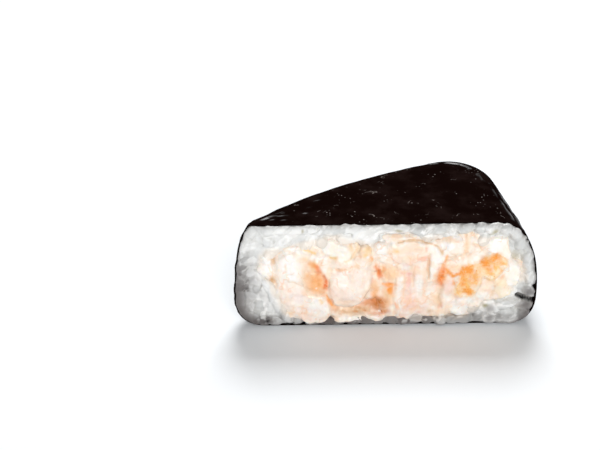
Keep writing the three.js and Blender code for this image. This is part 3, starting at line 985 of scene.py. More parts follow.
riceHeap = {
    "seed": 14,
    "grain": (5.0, 2.9, 2.6),  # length, width, depth of a cooked grain
    "grainForm": {"squareness": 2.3, "sizes": (0.86, 1.12), "taper": 0.12, "bend": 0.35},
    "field": {"x": (-37.5, 37.5), "z": (0.8, 28.6), "tries": 9000},
    "scatter": 0.4,  # of the grains' depths
    "lean": {"placed": (-8, 8), "rim": (-14, 14), "layer": (-24, 24), "rimEndOn": 60, "endOn": (35, 70)},
    "gaps": {"placed": 1.9, "rim": -1.5, "filling": -0.6, "wrap": -1.5},  # from a grain's middle
    "rim": {  # grains pressed along the wrap
        "depth": 0.45,
        "spacing": 3.0,
        "steps": (0.75, 1.25),  # of the spacing
        "inward": 0.95,
        "scatter": (-0.15, 0.35),
        "sway": 26,
    },
    "layers": ((2.3, 2.7), (0.7, 2.35)),  # y of the middles, spacing
    "endOn": 0.3,  # share of the grains that point at the knife
    "filler": {
        "x": (-37, 37),
        "y": 1.6,
        "z": (1, 29),
        "radius": 1.35,
        "spacing": 1.6,
        "edge": 0.7,
        "overlap": 1.0,
        "scatter": (1.1, 0.5),
    },
    "cut": (-0.45, -1.05),  # y of the knife cut at the tip and at the base
    "cutSlope": (-10, 24),  # x from where to where it changes
    "cutUneven": (3.0, 0.25),  # size and depth
    # rice pressed up beside the filling
    "rise": {"height": 0.9, "reach": 1.4, "toTip": (17, 23), "up": (14, 19)},
    # how far rice stands out over the edge of the nori, and more so over its upper edge
    "spill": {
        "least": 0.06,
        "upper": 0.3,
        "scallop": (2.6, 0.34),
        "up": (19, 25),
        "middle": 1,
        "sides": (31, 36),
        "ahead": (-0.15, 0.1),
    },
    # rice smeared by the knife
    "smear": {"toTip": (8, 26), "up": (9, 17), "depth": 2.0, "rounds": 14, "amount": 0.5},
    "bumps": ((1.4, 0.07, 9), (0.7, 0.04, 19)),  # size, depth, seed
    "voxel": 0.21,
    "sunkRounds": 12,
    "back": 2.8,  # y where the grains end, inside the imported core
    "coreFront": 2.6,
    "coreShade": 0.6,
    "band": {"y": 0.75, "radius": 1.05, "inward": 1.0, "spacing": 0.7},  # sticky rice along the wrap
    "facets": {  # knife-cut ends of the grains
        "field": ((-30, 30), (-38, 38)),
        "spacing": 1.7,
        "long": 1.6,
        "turn": 38,
        "sway": (11.0, 24),  # size and angle
        "wander": (0.9, 0.3),
        "step": 0.17,
        "toTip": (-4, 14),
        "front": (0.8, 0.6),  # y where the steps end, and over how much
    },
    # holes in the rice, pushed back, and painted near black as the shade inside them
    "shadedOpening": {
        "depth": 2.2,
        "front": 1.5,
        "edge": (0.8, 2.2),
        "dark": 1.7,
        "ragged": (1.1, 0.12, 0.1),  # size, reach at the edge of the hole, reach in its shade
    },
    # single grains: x, y, z, turn, length
    "placed": [
        (35.2, 0.5, 5.4, -14, 5.2), (35.9, 0.6, 9.6, -22, 3.8), (30.6, 0.2, 5.9, 12, 6.0),
        (27.6, 0.4, 4.2, 70, 4.0), (31.4, 0.4, 3.0, -8, 5.2), (36.0, 0.5, 13.4, 80, 4.6),
        (34.6, 0.4, 19.6, 66, 4.6), (32.6, 0.3, 23.4, 52, 4.8), (24.0, 0.4, 2.8, 48, 4.4),
        (35.0, 0.6, 16.6, -60, 4.0), (-29.4, -0.4, 12.0, 118, 4.4), (-27.9, -0.6, 8.8, 98, 4.2),
        (-26.6, -0.5, 5.6, 122, 4.4), (-24.6, -0.4, 2.8, 148, 3.8), (-6.7, 0.0, 25.7, 20, 4.2),
        (-4.4, 0.1, 25.3, -24, 4.0), (-5.5, -0.1, 24.3, 4, 3.8),
    ],
    "openings": [
        ([(33.3, 8.1), (34.4, 7.6), (35.4, 7.4), (37.6, 6.7)], 0.37), ([(33.4, 24.2), (34.4, 24.6)], 0.2),
        ([(36.9, 11.2), (37.6, 10.2)], 0.26), ([(36.6, 17.2), (37.4, 16.2)], 0.16),
        ([(35.2, 22.4), (35.8, 22.9)], 0.16), ([(37.2, 12.6), (37.7, 12.0)], 0.2),
        ([(-20.6, 0.6), (-19.4, 1.3)], 0.2), ([(-23.9, 0.5), (-23.2, 0.9)], 0.14),
        ([(-30.4, 1.2), (-29.4, 1.5)], 0.14),
    ],
    # spots of painted shade on the rice: x, z, half width, half height, turn, strength
    "shadeSpots": [
        (35.4, 5.4, 2.6, 1.8, -14, 1.15), (36.0, 9.4, 1.9, 1.3, -20, 1.0), (-35.0, 3.0, 3.2, 2.2, -30, 0.9),
        (34.8, 2.6, 2.4, 1.0, 16, 0.9), (-36.6, 10, 1.6, 9, 0, 0.8), (-35.0, 12.4, 1.2, 3.2, 30, 0.5),
        (-34.2, 7.4, 0.9, 2.2, -20, 0.4), (26.4, 1.6, 1.6, 1.2, 0, 0.9), (7.0, 27.6, 1.2, 0.9, 0, 0.6),
        (16, 1.4, 1.6, 1.2, 0, 0.5), (-35.2, 12.8, 0.8, 2.9, 34, 0.75), (-32.8, 10.2, 0.6, 1.9, 30, 0.6),
        (-36.2, 5.0, 1.2, 2.6, 0, 0.7), (-30.2, 6.2, 0.6, 1.8, -24, 0.45), (-32.4, 3.4, 0.7, 1.9, 16, 0.45),
        (36.9, 14.6, 0.8, 2.2, 0, 0.5), (36.4, 21.0, 0.8, 2.0, 0, 0.4), (31.4, 2.2, 3.4, 1.0, 6, 0.45),
        (21.8, 3.2, 1.8, 1.8, 0, 0.3), (-31.4, 9.4, 1.5, 3.0, 30, 0.5), (26.6, 4.2, 1.3, 1.1, 0, 0.6),
        (31.8, 1.6, 4.4, 1.0, 8, 0.6), (36.2, 5.0, 1.4, 2.4, 0, 0.4),
    ],
    "whitened": [
        (-5.6, 25.5, 3.0, 2.3, 0, 1.0), (-18.6, 24.4, 2.0, 2.0, 0, 1.0), (-32.0, 15.2, 1.8, 1.6, 0, 1.0),
        (27.6, 24.6, 1.6, 1.4, 0, 0.6), (-28.6, 6.4, 1.8, 3.0, -20, 0.7), (30.4, 7.4, 3.4, 1.2, 6, 0.4),
        (28.4, 26.2, 2.4, 1.2, 0, 0.5),
    ],
    "stained": [
        (25.2, 26.2, 0.8, 0.8, 0, 0.9), (2.2, 26.8, 1.2, 0.4, 0, 0.8), (25.4, 5.3, 0.9, 0.7, 0, 1.0),
        (-20.8, 27.0, 0.4, 0.6, 0, 0.8), (30.6, 19.4, 2.4, 1.7, 0, 0.5), (28.8, 22.2, 0.5, 1.0, 0, 0.5),
        (-17.4, 27.6, 0.3, 0.5, 0, 0.5),
    ],
}


def grainPoints(random, place, length, turn, lean):
    # a bent and slightly tapered cooked grain
    _, width, depth = riceHeap["grain"]
    form = riceHeap["grainForm"]
    points = squared(form["squareness"])
    along = points[:, 0]
    taper = 1 - form["taper"] * along
    scale = random.uniform(*form["sizes"])
    bend = random.uniform(-form["bend"], form["bend"])
    points = np.stack([
        along * length / 2 * scale,
        points[:, 1] * depth / 2 * taper,
        points[:, 2] * width / 2 * taper + bend * (along ** 2 - 0.4),
    ], axis=1)
    a = math.radians(lean)
    points = points @ np.array([[math.cos(a), math.sin(a), 0], [-math.sin(a), math.cos(a), 0], [0, 0, 1]])
    return points @ turned(-turn) + np.array(place)


def rimSpots(random):
    # spots along the wrap, a little inside it, with the way the wrap runs there
    rim = riceHeap["rim"]
    ring = np.array(riceRoom + riceRoom[:1])
    steps = np.linalg.norm(np.diff(ring, axis=0), axis=1)
    walk = np.concatenate([[0], np.cumsum(steps)])
    spots = []
    at = 0.0
    while at < walk[-1] - rim["spacing"] * 0.5:
        k = min(np.searchsorted(walk, at, side="right") - 1, len(steps) - 1)
        way = (ring[k + 1] - ring[k]) / max(steps[k], 1e-6)
        place = ring[k] + way * (at - walk[k])
        inward = np.array([-way[1], way[0]])
        if not insideRing((place + inward)[None], riceRoom)[0]:
            inward = -inward
        place = place + inward * (rim["inward"] + random.uniform(*rim["scatter"]))
        turn = math.degrees(math.atan2(way[1], way[0])) + random.uniform(-rim["sway"], rim["sway"])
        spots.append((place[0], place[1], turn))
        at += rim["spacing"] * random.uniform(*rim["steps"])
    return spots


def riceGrains(random):
    s = riceHeap
    lean, gaps, field = s["lean"], s["gaps"], s["field"]
    grains, middles = [], []

    def add(x, y, z, turn, tilt, length=s["grain"][0]):
        grains.append(grainPoints(random, (x, y, z), length, turn, tilt))
        middles.append((x, z))

    def scattered(depth):
        return depth + random.uniform(-s["scatter"], s["scatter"])

    for x, y, z, turn, length in s["placed"]:
        add(x, y, z, turn, random.uniform(*lean["placed"]), length)
    placed = np.array(middles)
    for x, z, turn in rimSpots(random):
        flat = np.array([[x, z]])
        free = np.min(np.linalg.norm(placed - flat, axis=1)) > gaps["placed"]
        if free and ringDistance(flat, fillingEdge)[0] > gaps["rim"]:
            endOn = random.random() < s["endOn"]
            depth = scattered(s["rim"]["depth"])
            add(x, depth, z, turn, lean["rimEndOn"] if endOn else random.uniform(*lean["rim"]))
    for depth, spacing in s["layers"]:
        spots = np.stack([random.uniform(*field[axis], field["tries"]) for axis in "xz"], axis=1)
        room = ringDistance(spots, riceRoom) < gaps["wrap"]
        room &= ringDistance(spots, fillingEdge) > gaps["filling"]
        placed = [np.array(middle) for middle in middles] if depth < 1 else []
        for spot in spots[room]:
            if placed and np.min(np.linalg.norm(np.array(placed) - spot, axis=1)) < spacing:
                continue
            placed.append(spot)
            endOn = random.random() < s["endOn"]
            tilt = random.uniform(*lean["endOn" if endOn else "layer"])
            add(spot[0], scattered(depth), spot[1], random.uniform(0, 180), tilt)
    return grains


def riceBand():
    # sticky rice along the wrap, behind the grains
    b = riceHeap["band"]
    inner = cutOutline(noriSheet["thickness"] + b["inward"])
    ring = np.array(inner + inner[:1])
    walk = np.concatenate([[0], np.cumsum(np.linalg.norm(np.diff(ring, axis=0), axis=1))])
    at = np.arange(0, walk[-1], b["spacing"])
    across = np.interp(at, walk, ring[:, 0])
    up = np.interp(at, walk, ring[:, 1])
    radius = b["radius"]
    return [lumpPoints((x, b["y"], z, radius, radius, radius)) for x, z in zip(across, up)]


def nearestSpot(place, spots):
    # the number of the spot nearest to each point on the face
    tree = searchTree([(x, 0, z) for x, z in spots])
    return np.array([tree.find((x, 0, z))[1] for x, z in place[:, [0, 2]]])


def riceFiller():
    # sticky rice between the grains
    f = riceHeap["filler"]
    columns, rows = np.arange(*f["x"], f["spacing"]), np.arange(*f["z"], f["spacing"])
    spots = np.array([(x, z) for x in columns for z in rows])
    size, reach = f["scatter"]
    spots = spots + reach * latticeSet(np.c_[spots, spots[:, 0]], size, (3, 4))
    room = (ringDistance(spots, riceRoom) < -f["edge"]) & (ringDistance(spots, fillingEdge) > -f["overlap"])
    radius = f["radius"]
    return [lumpPoints((x, f["y"], z, radius, radius, radius)) for x, z in spots[room]]


def spillOver(points):
    # the rice is held by the sheet behind the cut and bulges a little over its upper edge
    s = riceHeap["spill"]
    size, more = s["scallop"]
    upper = ramp(points[:, 2], *s["up"]) * fade(np.abs(points[:, 0] - s["middle"]), *s["sides"])
    ahead = fade(points[:, 1], *s["ahead"])
    scallop = 0.5 + 0.5 * lattice(points * np.array([1, 0, 0]), size, 81)
    return ahead * (s["least"] + upper * (s["upper"] + more * scallop))


def nearestGrain(place, grains):
    tree = searchTree(np.concatenate(grains))
    owners = np.repeat(np.arange(len(grains)), [len(grain) for grain in grains])
    return owners[[tree.find(point)[1] for point in place]]


def cutGrains(points):
    # grains are pressed against the nori and cut by the knife
    s = riceHeap
    rise = s["rise"]
    size, depth = s["cutUneven"]
    points = keptInside(points, innerFace, spillOver(points))
    toBase = ramp(points[:, 0], *s["cutSlope"])
    cut = s["cut"][0] + (s["cut"][1] - s["cut"][0]) * toBase - depth * lattice(points, size, 5)
    beside = ringDistance(points[:, [0, 2]], fillingEdge) / rise["reach"]
    pressed = rise["height"] * np.exp(-beside ** 2) * ramp(-points[:, 0], *rise["toTip"])
    cut -= pressed * fade(points[:, 2], *rise["up"])
    points[:, 1] = np.clip(points[:, 1], cut, s["back"])
    return points


def randomSpots(facets, random):
    # spots strewn over a field, one for each facet
    across, up = facets["field"]
    count = int((across[1] - across[0]) * (up[1] - up[0]) / facets["spacing"] ** 2)
    return np.stack([random.uniform(*across, count), random.uniform(*up, count)], axis=1)


def riceFacets(place, random):
    # which facet each point lies on, and how many facets there are
    f = riceHeap["facets"]
    moved = place + f["wander"][1] * latticeSet(place, f["wander"][0], (23, 24, 25))
    a = np.radians(f["turn"] + f["sway"][1] * lattice(place, f["sway"][0], 26))
    along = np.cos(a) * moved[:, 0] + np.sin(a) * moved[:, 2]
    moved[:, 2] = np.cos(a) * moved[:, 2] - np.sin(a) * moved[:, 0]
    moved[:, 0] = along / f["long"]
    spots = randomSpots(f, random)
    return nearestSpot(moved, spots), len(spots)


def sunkness(place, edges, rounds, normals):
    # how far each point lies below the broad surface round it
    broad = relaxed(place, edges, rounds, 0.6)
    return ((broad - place) * normals).sum(axis=1)


def shapedRice(mesh, edges, random):
    # the face smeared towards the tip, stepped in facets and opened in a few gaps
    s = riceHeap
    place = pointsOf(mesh)
    smear, facets, shadedOpening = s["smear"], s["facets"], s["shadedOpening"]
    smeared = ramp(-place[:, 0], *smear["toTip"]) * ramp(place[:, 2], *smear["up"])
    smeared *= ramp(smear["depth"] - place[:, 1], 0, 1)
    ragged, raggedEdge, _ = shadedOpening["ragged"]
    place = relaxed(place, edges, 1)
    place = relaxed(place, edges, smear["rounds"], smear["amount"] * smeared)
    facetOf, count = riceFacets(place, random)
    step = random.uniform(-1, 1, count)[facetOf]
    toTip = 0.5 + 0.5 * ramp(-place[:, 0], *facets["toTip"])
    behind, over = facets["front"]
    place[:, 1] += facets["step"] * step * toTip * ramp(behind - place[:, 1], 0, over)
    for line, width in s["openings"]:
        away = toLine(place[:, [0, 2]], line) + raggedEdge * lattice(place, ragged, 55)
        gone = shadedOpening["depth"] * fade(away, width * shadedOpening["edge"][0], width * shadedOpening["edge"][1])
        place[:, 1] += gone * ramp(shadedOpening["front"] - place[:, 1], 0, 1)
    setPoints(mesh, place)
    normals = normalsOf(mesh)
    sunk = sunkness(place, edges, s["sunkRounds"], normals)
    bumps = sum(depth * lattice(place, size, seed) for size, depth, seed in s["bumps"])
    place = place + normals * bumps[:, None]
    out, ways = beyondWrap(place, innerFace)
    place = place - ways * np.clip(out - spillOver(place), 0, None)[:, None]
    setPoints(mesh, place)
    return {"place": place, "out": out, "sunk": sunk, "smear": smeared, "facet": facetOf, "facets": count}


# Where each shade of the rice starts and is full, in mm on the face unless it is a chance; low, left,
# corners, edge, deep and shadeSpots set painted shade.
riceShades = {
    "wander": (1.6, 0.3),  # size and reach of the unevenness of the edges of every shade
    "seam": {"size": 2.4, "breaks": (-0.3, 0.5), "strength": 0.3},
    "facetShare": (0.35, 0.2, (-4, 14)),  # how much a facet counts beside its grain, and more towards the tip
    "bright": {"chance": (0.47, 0.62), "smear": 0.55, "less": 0.7, "across": (17, 23), "up": (10, 15)},
    "clear": {"chance": (0.42, 0.62), "smear": 0.6, "strength": 0.92},
    "creamy": {"wander": (3, 0.8), "fade": (-0.5, 1.2), "strength": 0.45},
    "low": {
        "wander": (4, 0.8),
        "up": (2.0, 4.0),
        "chance": (0.86, 0.14),
        "toBase": (8, 17),
        "base": (0.92, 0.42, (0.3, 0.6)),
        "toTip": (16, 22),
        "tipEnd": (26, 31),
        "tip": 0.4,
        "strength": 0.99,
    },
    "left": {
        "wander": (4, 1.2),
        "across": (29.5, 36.0),
        "up": (15, 25),
        "chance": (0.62, 0.38),
        "strength": 0.9,
    },
    "corners": (((27, 34), (11, 19)), ((31, 35), (4, 8))),  # sideways and up, at the tip and at the base
    "edge": {
        "from": 0.1,
        "reach": 1.3,
        "cornerReach": 2.5,
        "wander": (2.5, 0.6),
        "up": (15, 24),
        "strength": (0.68, 0.28),
    },
    "deep": {"depth": (1.2, 3.0), "strength": 0.5},
    "shadeSpots": 0.8,
    "lighter": {"strength": 0.4, "chance": (0.44, 0.56), "shadeSpots": (0.3, 0.7), "fromWrap": (0.2, 0.6)},
    "gap": {"sunk": (0.04, 0.3), "strength": 0.85, "smear": 0.5},
    "seldom": (0.2, 0.8),  # chance of a darker grain
    "soften": 0.3,
}


def paintedRiceShade(place, seen, out, chance):
    # painted shade: the darkening that the nori and the floor would cast on the rice beside them, with more
    # at the tip end, in the listed shade spots and further behind the cut
    s = riceShades
    low, left, edge, lighter = s["low"], s["left"], s["edge"], s["lighter"]
    x, z = seen[:, 0], seen[:, 1]
    seldom = ramp(chance[:, 1], *s["seldom"])
    under = fade(z + low["wander"][1] * lattice(place, low["wander"][0], 14), *low["up"])
    under *= low["chance"][0] + low["chance"][1] * seldom
    least, less, dark = low["base"]
    under *= 1 - ramp(x, *low["toBase"]) * (least - less * ramp(chance[:, 1], *dark))
    under *= 1 - low["tip"] * ramp(-x, *low["toTip"]) * fade(-x, *low["tipEnd"])
    beside = ramp(-x + left["wander"][1] * lattice(place, left["wander"][0], 24), *left["across"])
    beside *= fade(z, *left["up"])
    beside *= left["chance"][0] + left["chance"][1] * seldom
    (tipSide, tipUp), (baseSide, baseUp) = s["corners"]
    corner = np.maximum(ramp(-x, *tipSide) * fade(z, *tipUp), ramp(x, *baseSide) * fade(z, *baseUp))
    reach = edge["reach"] + edge["cornerReach"] * corner
    reach = reach + edge["wander"][1] * lattice(place, edge["wander"][0], 72)
    fromWrap = np.clip((-out - edge["from"]) / reach, 0, 1)
    along = (1 - fromWrap ** (1 + corner)) * (0.5 + 0.5 * fade(z, *edge["up"]))
    grey = spotMask(seen, riceHeap["shadeSpots"])
    shade = np.maximum.reduce([
        under * low["strength"],
        beside * left["strength"],
        grey * s["shadeSpots"],
        along * (edge["strength"][0] + edge["strength"][1] * corner),
        ramp(place[:, 1], *s["deep"]["depth"]) * s["deep"]["strength"],
    ])
    some = lighter["strength"] * ramp(chance[:, 0], *lighter["chance"]) * fade(grey, *lighter["shadeSpots"])
    return shade * (1 - some * ramp(fromWrap, *lighter["fromWrap"]))


def riceMaskValues(shape, edges, grainOf, grainCount, random):
    # each grain and facet is a little whiter or clearer than the next
    s = riceShades
    bright, clear, creamy, gap, seam = s["bright"], s["clear"], s["creamy"], s["gap"], s["seam"]
    place, smear, facetOf = shape["place"], shape["smear"], shape["facet"]
    meets = (grainOf[edges[:, 0]] != grainOf[edges[:, 1]]) | (facetOf[edges[:, 0]] != facetOf[edges[:, 1]])
    seams = np.zeros(len(place))
    seams[edges[meets].ravel()] = 1.0
    seams *= ramp(lattice(place, seam["size"], 71), *seam["breaks"])
    chance = random.random((grainCount, 2))[grainOf]
    shine = random.random((shape["facets"], 2))[facetOf]
    least, more, toTip = s["facetShare"]
    part = (least + more * ramp(-place[:, 0], *toTip))[:, None]
    chance = chance * (1 - part) + shine * part
    seen = onFace(place) + s["wander"][1] * latticeSet(place, s["wander"][0], (61, 62))
    white = spotMask(seen, riceHeap["whitened"])
    duller = bright["less"] * ramp(seen[:, 0], *bright["across"]) * fade(seen[:, 1], *bright["up"])
    whiter = ramp(chance[:, 0], *bright["chance"]) * (1 - duller) * (1 - bright["smear"] * smear)
    clearer = clear["strength"] * ramp(chance[:, 1], *clear["chance"]) * (1 - clear["smear"] * smear)
    toFilling = ringDistance(seen, fillingEdge)
    toFilling = toFilling + creamy["wander"][1] * lattice(place, creamy["wander"][0], 4)
    # dark seams, and painted shade where the surface is sunk
    sunken = np.maximum(ramp(shape["sunk"], *gap["sunk"]) * gap["strength"], seams * seam["strength"])
    masks = np.stack([
        np.maximum(whiter, white),
        clearer * (1 - white),
        sunken * (1 - gap["smear"] * smear),
        fade(toFilling, *creamy["fade"]) * creamy["strength"],
        spotMask(seen, riceHeap["stained"]),
        paintedRiceShade(place, seen, shape["out"], chance),
    ], axis=1)
    masks = relaxed(masks, edges, 1, s["soften"])
    # painted shade in and round the holes
    opened = np.zeros(len(place))
    ragged, _, raggedShade = riceHeap["shadedOpening"]["ragged"]
    for line, width in riceHeap["openings"]:
        away = toLine(seen, line) + raggedShade * lattice(place, ragged, 55)
        opened = np.maximum(opened, fade(away, width, width * riceHeap["shadedOpening"]["dark"]))
    return np.c_[masks, opened]


def makeRice(material):
    s = riceHeap
    random = np.random.default_rng(s["seed"])
    grains = riceGrains(random)
    print("rice", len(grains), "grains")
    points, faces = joinedBalls(grains + riceFiller() + riceBand())
    made = skinned("riceFace", cutGrains(points), faces, s["voxel"])
    edges = edgesOf(made.data)
    grainOf = nearestGrain(pointsOf(made.data), grains)
    shape = shapedRice(made.data, edges, random)
    masks = riceMaskValues(shape, edges, grainOf, len(grains), random)
    for column, name in enumerate(riceMasks):
        setMask(made.data, name, masks[:, column])
    finishPiece(made, ["rice"], material)


def mergeClose(work):
    bmesh.ops.remove_doubles(work, verts=work.verts, dist=0.01)
    bmesh.ops.dissolve_degenerate(work, edges=work.edges, dist=0.005)


def makeRiceCore(material):
    # the rice behind the face, standing in for the imported rice from a little behind the cut
    grid = wrapGrid("core", noriSheet["thickness"] + noriSheet["clearance"]["core"])
    grid[:, :, 1] = np.maximum(grid[:, :, 1], riceHeap["coreFront"])
    columns, rows = grid.shape[:2]
    faces = []
    for column in range(columns):
        after = (column + 1) % columns
        for row in range(rows - 1):
            here, there = column * rows + row, after * rows + row
            faces.append([here, here + 1, there + 1, there])
    made = cleanObject("riceCore", grid.reshape(-1, 3), faces, mergeClose)
    count = len(made.data.vertices)
    for name in riceMasks:
        setMask(made.data, name, np.full(count, riceHeap["coreShade"] if name == "paintedRiceShade" else 0.0))
    finishPiece(made, ["rice"], material)


riceMaterial = makeRiceMaterial()
makeRice(riceMaterial)
makeRiceCore(riceMaterial)
print("rice made")

# The filling: pieces of prawn, crab stick and curd in a creamy mass, fused and then shared out.
fillingFinish = {
    "voxel": 0.24,
    "smooth": 7,
    "meet": {"reach": (0.1, 1.3), "rounds": 24, "amount": 0.55},  # where two pieces join
    "warp": (4.0, 0.42),
    "bumps": ((4.2, 0.3), (1.9, 0.16), (0.9, 0.1)),  # size and depth of the unevenness
    "stretch": (1.6, 1.2, 0.4),  # the unevenness drawn out along strands
    "strandRounds": 40,
    "front": (-0.1, 0.4),  # how far a point faces the knife before flakes and creases act on it
    "creaseWander": (1.8, 0.22),
    "cutRound": 1.0,
    # painted shade: sunk places turn peach; the depths where it starts and is full, the rounds that find
    # them, and its strength
    "sunk": (0.04, 0.34),
    "sunkRounds": 10,
    "recessShadePeach": 0.8,
    "strokeWander": (2.0, 0.25),
    "flakes": {  # small flat facets of the torn flesh
        "seed": 5,
        "field": ((-35, 35), (0, 27)),
        "spacing": 1.2,
        "wander": (1.0, 0.35),
        "usual": 0.5,  # how flaky a piece is that doesn't say so itself
        "step": 0.13,
        "tone": 0.75,
        "peach": (0.3, 1.0),
        "pale": (0.0, 0.8),
        "palest": 1.5,
    },
    "wander": ((2.2, 0.34), (0.8, 0.16)),
}

prawnMiddle = {
    "lumps": [
        (-9.9, 0.0, 11.1, 4.5, 3.5, 5.5), (-9.2, 0.1, 14.4, 5.1, 3.0, 3.8),
        (-6.9, 0.1, 12.6, 3.0, 2.9, 3.9, 12), (-9.2, 0.6, 16.8, 5.0, 2.8, 2.8),
        (-11.4, 0.6, 18.6, 3.0, 2.6, 2.6), (-7.0, 0.5, 18.2, 2.6, 2.6, 2.4),
    ],
    "cut": -2.4,
    "flaky": 0.2,
    "creases": [
        ([(-9.9, 16.0), (-9.6, 12.0)], 0.5, 0.16), ([(-13.8, 16.4), (-11, 15.9), (-8.6, 16.8)], 0.4, 0.22),
        ([(-13.8, 13.4), (-12, 12.6)], 0.5, 0.18), ([(-6.4, 15.6), (-5.4, 11.2)], 0.5, 0.14),
    ],
    "tones": {
        # the first pale spot is a painted highlight
        "pale": [
            (-11.3, 13.4, 2.2, 3.0, 0, 0.75), (-7.6, 12.0, 1.8, 2.8, 0, 0.4), (-9.6, 8.6, 3.4, 2.4, 0, 0.4),
        ],
        "pink": [(-12.8, 15.2, 1.4, 1.0, 0, 0.25), (-8.8, 8.0, 3.6, 2.2, 0, 0.2)],
        "peach": [
            (-5.2, 9.0, 1.4, 2.2, -30, 0.45), (-8.0, 17.1, 1.5, 0.6, 0, 0.5),
            (-12.2, 16.1, 1.6, 0.4, 0, 0.4), (-9.6, 6.8, 3.4, 0.9, 0, 0.35),
        ],
    },
}

prawnLeft = {
    "lumps": [
        (-24.0, 0.4, 16.8, 3.8, 2.8, 5.0, 6), (-22.2, 0.3, 19.4, 2.6, 2.3, 2.7, 20),
        (-23.0, 0.3, 9.0, 4.3, 2.8, 4.6, -18), (-25.2, 0.6, 12.4, 2.4, 2.3, 3.0),
        (-24.4, 0.5, 6.6, 2.6, 2.2, 2.9, 24), (-26.9, 0.8, 9.8, 1.5, 1.7, 2.2),
        (-23.4, 0.6, 3.9, 1.9, 1.8, 1.5, -20), (-17.7, -0.8, 5.1, 3.9, 3.0, 4.2, -6),
        (-20.9, -0.3, 7.4, 3.4, 2.8, 3.8, -30),
    ],
    "cut": -1.75,
    "flaky": 0.3,
    "creases": [
        ([(-24.5, 12.6), (-21.5, 11.8)], 0.5, 0.2), ([(-20.8, 3.6), (-19.5, 7.8)], 0.5, 0.18),
        ([(-18.2, 2.4), (-17.6, 5.2)], 0.4, 0.14), ([(-22, 5.2), (-19.8, 4.8)], 0.4, 0.14),
        ([(-25.0, 18.2), (-24.8, 15.4)], 0.35, 0.16),
    ],
    "tones": {
        # the second pale spot lightens the low lobe as painted light
        "pale": [
            (-23.9, 16.4, 3.4, 5.6, 6, 1.0), (-17.2, 5.0, 2.8, 3.8, 0, 0.9), (-22.6, 8.0, 4.0, 4.4, 0, 0.7),
        ],
        "pink": [
            (-22.5, 8.5, 3.5, 3.4, 0, 0.2), (-19.5, 3.4, 3.0, 2.0, 0, 0.14),
            (-25.6, 11.6, 1.6, 1.6, 0, 0.25),
        ],
        "peach": [
            (-20.4, 9.8, 1.1, 1.3, 0, 0.6), (-20.2, 14.4, 1.4, 4.2, 0, 0.75),
            (-22.6, 12.9, 1.3, 0.4, -14, 0.5), (-24.0, 3.8, 0.9, 0.7, 0, 0.7),
            (-20.6, 18.9, 1.8, 0.9, 0, 0.5), (-18.4, 8.6, 2.4, 0.9, 0, 0.5),
        ],
        # tan along the crease is painted shade
        "tan": [(-24.9, 16.8, 0.3, 1.3, 0, 0.4)],
        "mustard": [(-16.3, 7.0, 0.5, 0.6, 0, 0.6), (-19.8, 21.6, 1.8, 0.35, -14, 0.9)],
        "orange": [(-14.5, 7.7, 0.5, 1.4, 24, 0.75), (-19.6, 13.4, 1.0, 2.4, 0, 0.4)],
    },
}

prawnLeftTail = {
    "lumps": [
        (-17.9, 0.1, 13.0, 2.9, 2.4, 4.2, -10), (-17.6, 0.4, 17.4, 2.3, 2.0, 2.1),
        (-16.2, 0.0, 12.6, 1.5, 1.9, 2.9),
    ],
    "cut": -1.8,
    "creases": [([(-18.6, 15.4), (-16, 14.6)], 0.35, 0.25), ([(-17.4, 13.6), (-16.8, 9.8)], 0.35, 0.2)],
    "tones": {
        "peach": [(-18.0, 12.8, 3.4, 5.2, 12, 1.0), (-18.6, 17.4, 2.2, 1.6, 0, 0.9)],
        "orange": [
            (-17.4, 12.6, 2.4, 3.2, 0, 0.65), (-18.1, 17.2, 1.6, 1.0, -20, 0.7),
            (-16.4, 10.2, 1.2, 1.4, 0, 0.5),
        ],
        "red": [(-17.1, 16.3, 0.8, 1.2, 14, 0.75), (-15.4, 12.5, 0.5, 1.9, 6, 0.95)],
        "pale": [(-19.8, 15.8, 0.8, 1.2, 0, 0.5)],
    },
}

prawnSlab = {
    "lumps": [
        (3.4, 0.6, 21.2, 6.6, 2.5, 3.1, -2, 2.6), (-1.7, 0.3, 21.9, 2.0, 2.3, 2.0),
        (5.4, 0.4, 18.8, 2.6, 2.3, 1.7, 8), (0.6, 0.7, 18.6, 2.2, 2.1, 1.6, -10),
        (8.6, 0.4, 21.2, 2.6, 2.4, 2.4), (11.5, 0.2, 18.6, 1.7, 2.2, 4.3, 10),
        (10.6, 0.2, 21.8, 2.2, 2.1, 2.1),
    ],
    "cut": -1.7,
    "creases": [
        ([(-0.3, 23.4), (0.2, 20), (1, 18.2)], 0.4, 0.3), ([(2.2, 23.8), (5, 24.2), (8, 23.6)], 0.35, 0.3),
        ([(9.8, 20.2), (9.8, 16), (10.2, 13.2)], 0.3, 0.6), ([(6.8, 19.2), (9.6, 19.0)], 0.35, 0.25),
        ([(11.4, 22.8), (12.8, 20.4)], 0.3, 0.3), ([(-3, 18.4), (-0.6, 17.4), (2, 17.8)], 0.4, 0.2),
    ],
    "tones": {
        "pink": [
            (8.6, 19.0, 1.5, 0.7, 12, 1.0), (8.9, 21.8, 0.45, 0.4, 0, 1.0), (5.4, 18.2, 2.2, 1.0, 16, 0.4),
            (2.2, 18.6, 1.8, 0.9, -12, 0.25), (9.8, 17.6, 0.4, 2.2, 0, 0.6),
        ],
        "peach": [
            (3.6, 21.6, 4.6, 1.7, 0, 0.35), (5.5, 19.4, 4, 1.2, 0, 0.5), (8.4, 20.6, 1.2, 1.6, 0, 0.4),
        ],
        # tan along the creases is painted shade
        "tan": [
            (5.0, 24.1, 2.6, 0.4, 0, 0.95), (9.2, 23.3, 1.8, 0.35, -14, 0.7),
            (12.8, 20.6, 0.4, 0.9, 20, 0.9), (10.0, 14.6, 0.3, 1.6, -6, 0.6),
        ],
        "mustard": [(1.6, 21.2, 0.6, 0.5, 0, 0.75)],
        "pale": [
            (-2, 21.6, 1.8, 2.2, 0, 0.9), (11.4, 18, 1.6, 5.0, -10, 0.8), (10.6, 21.7, 1.8, 1.6, 0, 0.6),
        ],
    },
}

